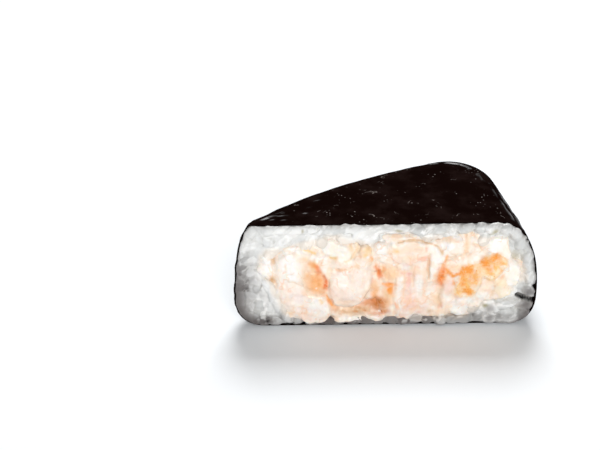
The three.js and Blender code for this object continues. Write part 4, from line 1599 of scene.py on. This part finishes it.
crabBlock = {
    "lumps": [
        (4.4, 1.1, 9.6, 5.4, 2.3, 8.0, 3, 4.0), (0.6, 0.7, 15.6, 2.1, 2.2, 2.7, 10, 2.6),
        (-0.3, 1.0, 9.8, 1.4, 2.0, 5.4, 12), (1.5, 0.6, 11.4, 1.4, 2.2, 3.4, 8),
        (3.0, 0.5, 8.2, 1.6, 2.2, 5.9, 3), (3.2, 0.3, 14.4, 1.8, 2.2, 2.4),
        (5.3, 0.5, 12.8, 1.5, 2.1, 5.2, -2), (7.7, 0.1, 13.6, 2.0, 2.5, 5.4, -3),
        (6.0, 0.4, 6.4, 2.8, 2.4, 4.4, 10), (9.0, 0.6, 7.2, 1.8, 2.1, 4.8, -6),
    ],
    "cut": -1.5,
    "strands": 1.0,
    "flaky": 0.55,
    "creases": [
        ([(2.0, 16.5), (1.8, 12), (1.4, 7), (2.2, 3)], 0.32, 0.2),
        ([(4.3, 16), (4.6, 10), (4.0, 4)], 0.32, 0.12), ([(6.1, 17), (6.3, 11)], 0.3, 0.26),
        ([(5.2, 8.5), (7.6, 9.4)], 0.4, 0.16), ([(-1, 12.2), (1.8, 11.8)], 0.3, 0.3),
        ([(3, 15.4), (4.6, 13.4)], 0.25, 0.2), ([(2.4, 12.4), (4.0, 12.0)], 0.3, 0.22),
        ([(7.7, 16), (7.8, 11)], 0.3, 0.12),
    ],
    "tones": {
        "pink": [
            (5.1, 12.8, 1.1, 3.4, 0, 0.75), (5.2, 15.0, 0.9, 0.6, 0, 1.0), (5.6, 7, 2.6, 3.4, 0, 0.3),
            (-0.2, 9, 1.0, 3.6, -12, 0.5), (9.2, 6, 1.4, 3, 0, 0.25), (5.8, 9.0, 0.4, 0.4, 0, 0.9),
            (2.2, 15.8, 1.6, 0.6, 0, 0.5), (8.4, 3.6, 0.8, 0.8, 0, 0.5),
        ],
        "peach": [
            (0.6, 15.2, 2.6, 3.1, -10, 1.0), (0.0, 8.2, 1.7, 4.8, -10, 0.95), (6.2, 16.6, 1.2, 1.0, 0, 0.5),
            (9.4, 11.0, 0.8, 4.0, 0, 0.35),
        ],
        "orange": [
            (0.4, 11.8, 1.7, 0.7, -4, 1.0), (1.0, 10.2, 0.7, 1.4, -6, 1.0), (2.6, 5.2, 0.4, 1.0, 0, 0.4),
            (-1.2, 16.2, 0.6, 1.4, 0, 0.6),
        ],
        "tan": [(10.9, 3.9, 0.8, 0.9, -30, 0.6)],
        "pale": [
            (3.2, 13.4, 1.3, 1.1, 0, 1.0), (3.2, 7, 1.0, 4.6, 0, 0.8), (7.9, 12, 1.3, 5.2, 0, 0.9),
            (5.6, 3.6, 2.2, 1.2, 0, 0.6),
        ],
    },
}

prawnRight = {
    "lumps": [
        (15.4, 0.6, 9.4, 2.3, 2.2, 3.8, 10), (19.6, 0.5, 8.2, 3.8, 2.3, 2.6, -12),
        (24.2, 0.6, 9.4, 2.7, 2.2, 3.0, -24), (26.0, 0.8, 11.8, 1.8, 2.0, 2.4),
        (16.0, 0.7, 5.6, 2.0, 2.0, 2.4, 0),
    ],
    "cut": -1.5,
    "creases": [
        ([(27.4, 12), (26.3, 10), (25, 7.8)], 0.35, 0.12), ([(17.5, 9.6), (22, 8.4)], 0.35, 0.14),
        ([(16.6, 12), (17.2, 7)], 0.4, 0.18),
    ],
    "tones": {
        "pink": [
            (15.4, 11.2, 1.9, 2.4, 0, 0.5), (13.5, 5.4, 0.6, 0.7, 0, 1.0), (17.6, 8.4, 1.2, 1.2, 0, 0.25),
        ],
        # tan along the crease is painted shade
        "tan": [(26.3, 9.4, 0.35, 2.2, -24, 0.5)],
        "pale": [(20, 7.0, 3.4, 1.6, 8, 0.9), (24, 8.4, 1.8, 1.6, 0, 0.7), (19, 4.6, 2, 2, 0, 0.6)],
        "peach": [
            (23.4, 10.8, 2.2, 1.4, 0, 0.5), (16.6, 8.6, 0.9, 1.2, 0, 0.4), (25.6, 12.6, 1.6, 1.2, 0, 0.6),
        ],
        "orange": [
            (16.5, 12.2, 0.5, 0.8, 0, 0.7), (17.6, 10.6, 0.4, 0.5, 0, 0.5), (23.2, 12.6, 0.4, 0.4, 0, 0.5),
        ],
    },
}

orangeLeft = {
    "lumps": [(20.0, 0.1, 13.2, 2.9, 2.7, 4.9, 10, 4.4)],
    "cut": -1.9,
    "join": 0.35,
    "tones": {
        "orange": [
            (19.2, 15.6, 2.2, 1.4, 24, 1.0), (20.1, 9.6, 1.6, 1.1, -24, 1.0),
            (18.6, 13.2, 1.0, 2.8, 0, 0.7), (20.8, 13.4, 1.8, 2.6, 0, 0.5),
        ],
        "pale": [(22.6, 11, 0.8, 2.0, 0, 0.5)],
    },
}

orangeRight = {
    "lumps": [(25.7, 0.2, 17.4, 3.0, 2.6, 3.6, 34, 4.6)],
    "cut": -1.9,
    "join": 0.35,
    "tones": {
        "orange": [
            (23.6, 17.8, 1.2, 1.8, 26, 1.0), (25.9, 19.3, 1.9, 1.1, 30, 1.0),
            (24.9, 15.8, 0.8, 1.1, 20, 0.7), (27.4, 18.0, 0.8, 1.5, 24, 0.6),
            (25.6, 17.4, 1.6, 1.6, 0, 0.35),
        ],
        "pale": [(27.0, 15.0, 0.9, 0.9, 0, 0.3)],
    },
}

orangeLow = {
    "lumps": [(28.8, 0.6, 11.4, 2.5, 2.3, 3.4, -24, 3.4)],
    "cut": -1.4,
    "join": 0.5,
    "flaky": 0.2,
    "tones": {"pale": [(29.8, 9.8, 1.8, 1.8, 0, 0.35)], "orange": [(28.4, 13.4, 0.5, 1.0, -20, 0.35)]},
}

curds = {
    "cheeseRight": {
        "node": "cheese_right",
        "lumps": [(31.0, 0.5, 14.2, 2.6, 2.5, 3.7, -6), (30.4, 0.8, 12, 1.7, 2, 2)],
        "cut": -1.7,
        "join": 0.3,
        "flaky": 0.2,
    },
    "cheeseLow": {
        "node": "cheese_low",
        "lumps": [(18.5, 0.2, 4.9, 2.2, 2.2, 2.2)],
        "cut": -1.6,
        "join": 0.3,
        "flaky": 0.2,
    },
    "cheeseTop": {
        "node": "cheese_top",
        "lumps": [(26.6, 0.4, 22.0, 2.6, 1.9, 2.8, -20, 2.6), (28.5, 0.5, 20.8, 1.5, 1.6, 2.4, -30)],
        "cut": -1.2,
        "join": 0.3,
        "flaky": 0.2,
    },
    "cheeseLeft": {
        "node": "cheese_left",
        "lumps": [(-13.8, 0.3, 22.2, 2.6, 2.1, 2.5), (-10.8, 0.2, 21.2, 2.0, 2.1, 2.5)],
        "cut": -1.5,
        "join": 0.4,
        "flaky": 0.2,
    },
}

creamFilling = {
    "folds": [
        (-29.0, 0.9, 19.4, 1.7, 1.7, 2.3), (-30.2, 1.0, 16.6, 1.6, 1.6, 1.7),
        (-28.4, 0.8, 15.4, 1.7, 1.6, 2.0), (-28.0, 1.1, 12.4, 1.5, 1.6, 2.2),
        (-23.0, 1.0, 21.4, 3.8, 1.9, 1.9, 8), (-16.4, 0.5, 20.0, 1.8, 1.8, 1.6),
        (-6.0, 0.3, 21.0, 2.1, 2.2, 2.4, -6), (-8.8, 0.7, 22.6, 1.4, 1.8, 1.8),
        (-14.9, -0.1, 16.6, 1.7, 2.2, 3.0, -6), (-8.4, 0.5, 1.9, 4.4, 1.7, 0.8),
        (-3.0, 0.5, 2.8, 3.0, 1.7, 0.9, 12), (-8.6, 1.0, 3.6, 5.2, 1.8, 2.2),
        (-13.2, 0.7, 4.8, 1.6, 1.7, 2.2), (15.4, 0.4, 22.6, 2.6, 2.1, 2.4, 20),
        (18.9, 0.4, 22.8, 2.0, 2.1, 3.4, 12), (21.7, 0.6, 22.2, 1.8, 1.9, 2.4, 30),
        (13.3, 0.7, 16.4, 1.3, 1.8, 4.2, -12), (16.7, 0.6, 18.2, 2.3, 2.0, 2.2, 20),
        (21.6, 0.8, 18.8, 2.0, 1.8, 1.8), (11.8, 0.3, 3.9, 3.2, 2.0, 1.9, 4),
        (14.6, 0.6, 5.0, 1.8, 1.9, 2.2), (22.6, 0.8, 6.6, 2.6, 1.8, 1.7, -30),
        (12.4, 0.9, 8.4, 1.4, 1.7, 3.2), (17.8, 0.8, 15.6, 1.7, 1.8, 1.9), (2.6, 0.6, 25.0, 4.5, 1.7, 1.0),
        (29.5, 1.0, 17.6, 1.8, 1.6, 1.8), (-2.6, 0.9, 11.6, 1.4, 1.8, 3.4, -6),
    ],
    "bulk": {
        "seed": 21,
        "x": (-34, 35),
        "y": 1.6,
        "z": (0, 28),
        "spacing": 2.1,
        "scatter": 0.6,
        "margin": 1.3,
        "radius": 2.4,
        "sizes": (0.85, 1.1),  # of the radius
        "flat": 0.9,
        "depths": (-0.3, 0.2),
    },
    "hollow": {"x": -5.4, "z": 6.3, "halfWidth": 7.4, "halfHeight": 3.4, "back": 1.5},
    "cut": -1.6,
    "creases": [
        ([(-28.6, 21), (-28, 18.5)], 0.35, 0.3), ([(-29.3, 15), (-27.6, 12.4)], 0.4, 0.4),
        ([(-2.6, 17.2), (-1.6, 13)], 0.35, 0.55), ([(18.2, 25.6), (18.6, 20)], 0.4, 0.2),
        ([(12.9, 17), (13.5, 12.4), (13.1, 9), (13.6, 5)], 0.5, 0.35),
        ([(-15.8, 24.2), (-14.6, 25.4), (-12.2, 25.2)], 0.35, 0.35),
        ([(-8.9, 24.6), (-7.6, 22), (-9.0, 19.4)], 0.4, 0.3),
        ([(14.4, 20.4), (16.6, 19.4), (18, 20)], 0.4, 0.3),
        ([(20.4, 23), (22, 22.6), (23, 21.4)], 0.35, 0.25), ([(-18.6, 20.6), (-15.6, 18.6)], 0.4, 0.25),
    ],
    "tones": {
        # tan: mostly painted shade in creases and crevices; the wide spot low in the middle is the hollow's
        # sauce with painted shade
        "tan": [
            (-28.0, 19.2, 0.55, 1.6, 0, 0.9), (-28.5, 13.5, 1.0, 1.7, -14, 1.0),
            (-15.6, 24.3, 0.4, 0.9, -35, 0.9), (-13.6, 25.2, 1.7, 0.4, 0, 1.0),
            (-7.8, 4.2, 0.5, 0.4, 0, 0.9), (-5.2, 4.2, 0.4, 0.35, 0, 0.9), (21.8, 22.4, 1.6, 0.4, -20, 0.5),
            (16.5, 19.3, 1.3, 0.45, 20, 0.6), (11, 3.8, 0.9, 0.7, 30, 0.7), (-2.5, 24.9, 1.1, 1.0, 0, 0.8),
            (13.4, 7.6, 0.5, 2.6, 0, 0.7), (-8.0, 4.4, 4.8, 1.4, 4, 0.95), (-3.0, 10.6, 0.9, 2.6, 0, 0.3),
        ],
        "mustard": [
            (-13.4, 19.7, 0.9, 0.6, 0, 0.8), (-19.6, 25.0, 0.4, 1.0, 0, 0.6),
            (-5.2, 21.7, 0.9, 1.3, 0, 0.6), (-5.9, 20.0, 0.7, 0.7, 0, 0.7), (-9.0, 22.6, 0.5, 1.6, 12, 0.3),
            (14.0, 19.2, 0.4, 0.8, 0, 0.6),
        ],
        "orange": [
            (-12.8, 5.2, 1.4, 1.3, 10, 0.5), (13.5, 14.0, 1.1, 3.0, -4, 0.95),
            (-2.3, 15.6, 1.0, 2.2, 18, 0.7), (-4.2, 19.0, 0.5, 0.7, 0, 0.6),
            (13.6, 17.6, 0.4, 1.6, -10, 0.7), (15.2, 15.0, 1.4, 0.7, -34, 1.0),
            (17.4, 14.7, 1.1, 0.5, 20, 0.95), (19.0, 16.0, 1.0, 0.5, 24, 0.7),
            (-6.6, 5.8, 2.6, 0.9, 14, 0.2), (-3.0, 8.2, 1.3, 2.8, 0, 0.55),
        ],
        "red": [
            (13.3, 14.0, 0.5, 2.3, -4, 0.5), (-2.1, 15.3, 0.5, 1.9, 12, 0.7),
            (12.7, 13.2, 0.5, 1.6, 0, 0.3),
        ],
        # brown: painted shade in the hollow under the middle prawn, in a sauce colour
        "brown": [
            (-4.4, 6.5, 2.0, 1.0, 10, 0.75), (-2.0, 6.2, 2.4, 2.3, -30, 1.0), (-0.6, 4.4, 1.4, 1.2, 0, 1.0),
        ],
        "peach": [
            (-6, 21.4, 2.2, 3.0, 0, 0.6), (-8.4, 4.2, 5.6, 1.6, 0, 0.5), (18.9, 23, 0.8, 3.2, 0, 0.75),
            (16, 16.6, 2.6, 1.3, 0, 0.7), (12.7, 7.6, 0.9, 3.4, 0, 0.7), (-3.0, 11, 1.2, 3.2, 0, 0.9),
            (-9.2, 22.4, 1.0, 2.6, 12, 0.6), (-4.6, 18.6, 1.6, 1.4, 0, 0.6), (12.0, 14.6, 0.9, 2.8, 0, 0.8),
            (-13.0, 6.4, 1.2, 1.8, 0, 0.8), (23.4, 21.6, 1.2, 1.6, 0, 0.3),
        ],
        "pink": [
            (12.2, 13.4, 0.7, 2.8, 0, 0.7), (-3.4, 12.4, 0.9, 1.4, 0, 0.7), (22.4, 22.6, 1.4, 1.0, 0, 0.2),
        ],
        "pale": [
            (-29.6, 18, 2.2, 4, 0, 1.0), (15, 22, 3.0, 1.8, -10, 1.0), (-7, 1.8, 5.6, 1.0, 2, 0.9),
            (24.4, 21.6, 2.4, 2.6, 0, 0.8), (30.0, 17.0, 3.0, 2.4, 0, 0.6), (-31, 15, 3, 3, 0, 0.7),
            (21.6, 19.4, 2.0, 1.2, 0, 0.5), (-22, 21.8, 3, 1.2, 0, 0.8), (-16.4, 19.6, 1.4, 1.0, 0, 0.7),
            (16.6, 24.8, 2.6, 0.9, -20, 0.8), (17.0, 18.0, 1.2, 1.0, 0, 0.5),
        ],
    },
}


# Thin lines that run over the pieces: the tan ones, laid mostly along creases, are painted shade, and the
# brown ones in the hollow are painted shade in a sauce colour; the others are lines of fat, shell and sauce.
fillingStrokes = {
    "tan": [
        ([(2.0, 23.6), (4.5, 24.3), (7.0, 24.2), (9.0, 23.4), (11.4, 22.7), (12.9, 20.4)], 0.3, 0.9),
        ([(9.8, 20.0), (9.7, 16.5), (10.3, 13.2)], 0.22, 0.7),
        ([(-16.2, 23.8), (-15.0, 25.3), (-13.6, 25.1), (-12.2, 25.3)], 0.3, 0.9),
        ([(20.4, 23.2), (21.6, 22.9), (22.7, 21.4)], 0.22, 0.7), ([(22.2, 20.8), (23.2, 22.2)], 0.2, 0.5),
        ([(16.2, 19.9), (17.2, 18.5)], 0.22, 0.6), ([(14.4, 19.7), (16.0, 19.5)], 0.2, 0.6),
        ([(27.5, 12.0), (26.4, 10.0), (25.0, 8.0), (24.6, 7.0)], 0.22, 0.3),
        ([(-28.2, 20.6), (-27.7, 18.4)], 0.3, 0.6), ([(13.2, 10.5), (13.9, 7.5), (13.3, 5.0)], 0.45, 0.4),
        ([(-24.6, 12.9), (-22.6, 12.6), (-21.2, 11.8)], 0.18, 0.4),
        ([(-4.0, 24.6), (-2.6, 24.0), (-1.4, 24.4)], 0.3, 0.5), ([(-7.8, 17.4), (-7.0, 16.4)], 0.25, 0.5),
    ],
    "mustard": [
        ([(-21.2, 22.2), (-19.6, 21.5), (-18.0, 21.0)], 0.3, 0.9),
        ([(-19.8, 26.0), (-19.4, 24.6)], 0.22, 0.6),
        ([(-9.0, 24.8), (-7.6, 22.2), (-8.8, 19.8), (-10.4, 18.4)], 0.4, 0.45),
        ([(-14.2, 19.8), (-12.8, 19.4)], 0.3, 0.8), ([(1.2, 21.3), (2.2, 21.0)], 0.35, 0.7),
        ([(-16.6, 7.6), (-16.2, 6.6)], 0.3, 0.6),
    ],
    "orange": [
        ([(14.2, 20.0), (13.8, 17.5), (13.4, 14.5)], 0.35, 0.7),
        ([(-12.8, 16.2), (-10.6, 15.9)], 0.22, 0.45),
        ([(14.1, 16.2), (15.3, 15.1), (16.2, 14.2), (17.6, 14.8), (19.2, 16.2), (20.7, 17.0)], 0.42, 1.0),
        ([(-0.9, 12.0), (0.4, 11.9), (1.3, 11.4)], 0.32, 1.0), ([(1.1, 10.9), (0.8, 9.3)], 0.32, 0.9),
        ([(-15.0, 9.0), (-14.3, 7.6), (-13.6, 6.0)], 0.35, 0.9), ([(16.4, 12.8), (16.7, 11.6)], 0.3, 0.7),
        ([(18.7, 10.4), (20.0, 9.6), (21.0, 8.8)], 0.4, 0.9), ([(2.2, 6.4), (2.6, 5.2)], 0.22, 0.6),
        ([(22.9, 17.6), (24.6, 19.0), (26.4, 20.1)], 0.45, 0.8), ([(23.4, 17.2), (24.6, 15.6)], 0.4, 0.7),
    ],
    "red": [
        ([(13.6, 16.4), (13.2, 13.6), (13.3, 11.8)], 0.4, 0.6),
        ([(-3.0, 17.0), (-2.5, 15.6), (-1.4, 14.4)], 0.34, 0.5),
        ([(-15.8, 14.4), (-15.2, 12.6), (-15.4, 11.0)], 0.38, 0.9),
        ([(-17.4, 17.4), (-16.8, 16.4), (-17.0, 15.2)], 0.4, 0.6),
    ],
    "pink": [
        ([(7.0, 18.8), (8.4, 19.3), (9.8, 19.2)], 0.4, 1.0), ([(3.4, 15.3), (5.8, 15.0)], 0.32, 0.9),
        ([(12.4, 15.0), (12.3, 12.0)], 0.4, 0.7), ([(-3.6, 13.6), (-3.9, 11.0)], 0.35, 0.7),
        ([(13.6, 6.0), (13.4, 5.0)], 0.35, 0.9), ([(5.7, 9.2), (6.1, 8.6)], 0.25, 0.8),
        ([(8.8, 22.2), (9.0, 21.4)], 0.3, 0.9), ([(6.6, 17.0), (7.4, 16.6)], 0.25, 0.6),
    ],
    "peach": [
        ([(4.1, 16.2), (4.3, 12.0), (4.0, 8.0)], 0.28, 0.6),
        ([(18.4, 26.0), (18.8, 23.0), (18.6, 20.4)], 0.5, 0.6),
        ([(-20.8, 19.6), (-19.4, 18.2), (-18.0, 17.8)], 0.5, 0.6), ([(6.3, 16.0), (6.4, 11.0)], 0.25, 0.5),
    ],
    "brown": [
        ([(-3.6, 7.4), (-2.0, 6.6), (-0.6, 5.2)], 0.7, 0.8), ([(-8.2, 4.3), (-7.2, 4.1)], 0.25, 0.7),
        ([(-5.6, 4.3), (-5.0, 4.2)], 0.2, 0.7),
    ],
}


def creamLumps():
    # the folds seen on the cut and the mass behind them, set back in the hollow
    s = creamFilling
    bulk, hollow = s["bulk"], s["hollow"]
    random = np.random.default_rng(bulk["seed"])
    columns = np.arange(*bulk["x"], bulk["spacing"])
    rows = np.arange(*bulk["z"], bulk["spacing"])
    spots = np.array([(x, z) for x in columns for z in rows])
    spots = spots + random.uniform(-bulk["scatter"], bulk["scatter"], spots.shape)
    lumps = list(s["folds"])
    for x, z in spots[ringDistance(spots, fillingEdge) < -bulk["margin"]]:
        size = bulk["radius"] * random.uniform(*bulk["sizes"])
        y = bulk["y"] + random.uniform(*bulk["depths"])
        across, up = (x - hollow["x"]) / hollow["halfWidth"], (z - hollow["z"]) / hollow["halfHeight"]
        if across ** 2 + up ** 2 < 1:
            y += hollow["back"]
        lumps.append((x, y, z, size, size, size * bulk["flat"], random.uniform(0, 90)))
    return lumps


# Name, node, slot, material and values of each piece of the filling.
fillingPieces = [
    ("prawnMiddle", "prawn_middle", "prawn", "cookedPrawn", prawnMiddle),
    ("prawnLeft", "prawn_left", "prawn", "cookedPrawn", prawnLeft),
    ("prawnLeftTail", "prawn_left_tail", "prawn_orange", "cookedPrawn", prawnLeftTail),
    ("prawnSlab", "prawn_slab", "prawn", "cookedPrawn", prawnSlab),
    ("crabBlock", "crab_block", "crab", "crabStrands", crabBlock),
    ("prawnRight", "prawn_right", "prawn", "cookedPrawn", prawnRight),
    ("orangeLeft", "orange_piece_left", "orange_piece", "grainyOrange", orangeLeft),
    ("orangeRight", "orange_piece_right", "orange_piece", "grainyOrange", orangeRight),
    ("orangeLow", "orange_piece_low", "orange_piece", "yellowPiece", orangeLow),
]
for name, curd in curds.items():
    fillingPieces.append((name, curd["node"], "cheese", "whiteCurd", curd))
creamMass = {**creamFilling, "lumps": creamLumps()}
fillingPieces.append(("creamFace", "cream_filling", "cream", "prawnCream", creamMass))


def fillingSkin(pieces, s):
    # one skin round every lump, with the piece that each of its points belongs to
    points, faces = joinedBalls([lumpPoints(lump) for piece in pieces for lump in piece["lumps"]])
    made = skinned("filling", points, faces, s["voxel"])
    place = pointsOf(made.data)
    away = np.full((len(pieces), len(place)), 1e9)
    for row, piece in zip(away, pieces):
        for lump in piece["lumps"]:
            np.minimum(row, outOfLump(place, lump), out=row)
    nearest = np.sort(away, axis=0)[:2]
    meet = fade(nearest[1] - nearest[0], *s["meet"]["reach"])
    return made, away.argmin(axis=0), meet


def flakeTones(place, pieces, owner, s):
    # which facet each point is on, as two random numbers, and how flaky its piece is
    f = s["flakes"]
    random = np.random.default_rng(f["seed"])
    spots = randomSpots(f, random)
    moved = place + f["wander"][1] * latticeSet(place, f["wander"][0], (33, 34, 35))
    flaky = np.array([piece.get("flaky", f["usual"]) for piece in pieces])[owner]
    return random.uniform(-1, 1, (len(spots), 2))[nearestSpot(moved, spots)], flaky


def shapedFilling(mesh, pieces, owner, meet, s):
    # joins softened, the face cut by the knife, then uneven bumps and the creases
    edges = edgesOf(mesh)
    place = relaxed(pointsOf(mesh), edges, s["smooth"])
    place = relaxed(place, edges, s["meet"]["rounds"], s["meet"]["amount"] * meet)
    traits = np.array([(piece["cut"], piece.get("strands", 0.0)) for piece in pieces])[owner]
    traits = relaxed(traits, edges, s["strandRounds"])
    cut, strands = traits[:, 0], traits[:, 1]
    soft = s["cutRound"]
    y = place[:, 1]
    pressed = cut + soft * np.exp(np.minimum((y - cut - soft) / soft, 0))
    place[:, 1] = np.where(y < cut + soft, pressed, y)
    place = place + cloudySet(place, s["warp"][0], (61, 66, 71)) * s["warp"][1]
    for index, (size, depth) in enumerate(s["bumps"]):
        setPoints(mesh, place)
        plain = lattice(place, size, index + 1)
        drawn = lattice(place * np.array(s["stretch"]), size, index + 1)
        rise = depth * (plain * (1 - strands) + drawn * strands)
        place = place + normalsOf(mesh) * rise[:, None]
    setPoints(mesh, place)
    normals = normalsOf(mesh)
    front = ramp(-normals[:, 1], *s["front"])
    flakes, flaky = flakeTones(place, pieces, owner, s)
    place = place + normals * (s["flakes"]["step"] * flaky * flakes[:, 0] * front)[:, None]
    flat = onFace(place)
    wander = s["creaseWander"][1] * lattice(place, s["creaseWander"][0], 51)
    for piece in pieces:
        for line, width, depth in piece.get("creases", ()):
            away = toLine(flat, line) + wander
            place = place - normals * (depth * front * np.exp(-((away / width) ** 2)))[:, None]
    setPoints(mesh, place)
    return place


def strokeMask(flat, strokes):
    # thin soft lines on the cut face: line, half width, strength
    mask = np.zeros(len(flat))
    for line, width, strength in strokes:
        mask = np.maximum(mask, strength * np.exp(-((toLine(flat, line) / width) ** 2)))
    return mask


def fillingMasks(mesh, pieces, owner, meet, s):
    # painted tones: each piece's own, with soft and broken edges
    place = pointsOf(mesh)
    edges = edgesOf(mesh)
    sunk = sunkness(place, edges, s["sunkRounds"], normalsOf(mesh))
    flat = onFace(place)
    thin = flat + s["strokeWander"][1] * cloudySet(place, s["strokeWander"][0], (3, 13))
    for index, (size, reach) in enumerate(s["wander"]):
        for axis in range(2):
            flat[:, axis] += reach * cloudy(place, size, 7 + 10 * index + 40 * axis)
    flakes, flaky = flakeTones(place, pieces, owner, s)
    f = s["flakes"]
    tint = f["tone"] * flaky
    # peach in sunk places is painted shade; peach and pale on the flakes are the flesh's own tones
    peach = np.maximum(ramp(sunk, *s["sunk"]) * s["recessShadePeach"], ramp(-flakes[:, 1], *f["peach"]) * tint)
    extra = {"Peach": peach, "Pale": ramp(flakes[:, 1], *f["pale"]) * tint * f["palest"]}
    nothing = np.zeros(len(place))
    masks = np.zeros((len(place), len(toneNames)))
    masks[:, 0] = meet * np.array([piece.get("join", 1.0) for piece in pieces])[owner]
    for column, tone in enumerate(toneNames[1:], 1):
        shades = [strokeMask(thin, fillingStrokes.get(tone.lower(), ())), extra.get(tone, nothing)]
        for index, piece in enumerate(pieces):
            spots = piece.get("tones", {}).get(tone.lower(), ())
            shades.append(spotMask(flat, spots) * np.where(owner == index, 1, meet))
        masks[:, column] = np.maximum.reduce(shades)
    return relaxed(masks, edges, 1)


def makeFilling():
    s = fillingFinish
    pieces = [entry[4] for entry in fillingPieces]
    made, owner, meet = fillingSkin(pieces, s)
    mesh = made.data
    place = shapedFilling(mesh, pieces, owner, meet, s)
    masks = fillingMasks(mesh, pieces, owner, meet, s)
    normals = normalsOf(mesh)
    corners = np.empty(len(mesh.polygons) * 4, np.int64)
    mesh.polygons.foreach_get("vertices", corners)
    corners = corners.reshape(-1, 4)
    faceOwner = owner[corners[:, 0]]
    for index, (name, node, slotName, material, _) in enumerate(fillingPieces):
        used, faces = np.unique(corners[faceOwner == index], return_inverse=True)
        part = newObject(name, place[used], faces.reshape(-1, 4))
        for column, tone in enumerate(toneNames):
            setMask(part.data, tone.lower(), masks[used, column])
        finishPiece(part, [node], fillingMaterials[material], normals[used])
    bpy.data.objects.remove(made)
    bpy.data.meshes.remove(mesh)


creamCore = {
    "halfLength": 31.0,
    "halfHeight": 9.6,
    "power": 2.7,
    "depth": 22.0,
    "deeper": (0.72, 0.28),  # share of the depth at the middle, and what the base side has more
    "front": 2.8,
    "middle": (1.2, 0, 13.2),
}


def makeCreamCore(material):
    # the mass runs in from the cut and is deepest towards the base
    s = creamCore
    points = ballPoints.copy()
    power = s["power"]
    long, high = np.abs(points[:, 0] / s["halfLength"]), np.abs(points[:, 2] / s["halfHeight"])
    across = (long ** power + high ** power) ** (2 / power)
    deep = s["depth"] * (s["deeper"][0] + s["deeper"][1] * points[:, 0])
    points = points / np.sqrt(across + (points[:, 1] / deep) ** 2)[:, None]
    points[:, 1] = np.maximum(points[:, 1], s["front"])
    points += np.array(s["middle"])
    made = newObject("creamCore", points, ballFaces)
    for tone in toneNames:
        setMask(made.data, tone.lower(), np.zeros(len(points)))
    finishPiece(made, ["cream_filling"], material)


makeFilling()
makeCreamCore(fillingMaterials["prawnCream"])
print("filling made")


studio = {
    "floor": (0.838, 0.86, 0.879, 1),
    "floorReach": 3.0,
    "floorDrop": 0.00002,  # keeps the floor clear of the sheet that rests on it
    "floorSurface": {"Roughness": 0.9, "Specular IOR Level": 0.0},
    "surround": 0.24,
    "keySize": 0.34,
    "keyPower": 4.9,
    "keyPlace": (0.03, 0.40, 0.57),
    "fillSize": 0.45,
    "fillPower": 4.33,
    "fillPlace": (0.06, -0.74, 0.41),
}


def areaLight(name, place, size, power):
    light = bpy.data.lights.new(name, "AREA")
    light.size = size
    light.energy = power
    made = sceneObject(name, light)
    made.location = place
    made.rotation_euler = Vector(place).to_track_quat("Z", "Y").to_euler()


def makeStudio(s):
    mesh = bpy.data.meshes.new("floor")
    reach = s["floorReach"]
    corners = [(-reach, -reach, 0), (reach, -reach, 0), (reach, reach, 0), (-reach, reach, 0)]
    mesh.from_pydata(corners, [], [(0, 1, 2, 3)])
    floor = sceneObject("floor", mesh)
    floor.location.z = noriLow.z - s["floorDrop"]
    material, _, shader = newMaterial("paleFloor")
    setInputs(shader, {"Base Color": s["floor"], **s["floorSurface"]})
    mesh.materials.append(material)
    areaLight("key", s["keyPlace"], s["keySize"], s["keyPower"])
    areaLight("fill", s["fillPlace"], s["fillSize"], s["fillPower"])
    world = bpy.data.worlds.new("surround")
    world.use_nodes = True
    background = world.node_tree.nodes["Background"]
    background.inputs[0].default_value = (1, 1, 1, 1)
    background.inputs[1].default_value = s["surround"]
    bpy.context.scene.world = world
    bpy.context.scene.view_settings.view_transform = "Standard"


makeStudio(studio)
print("studio made")
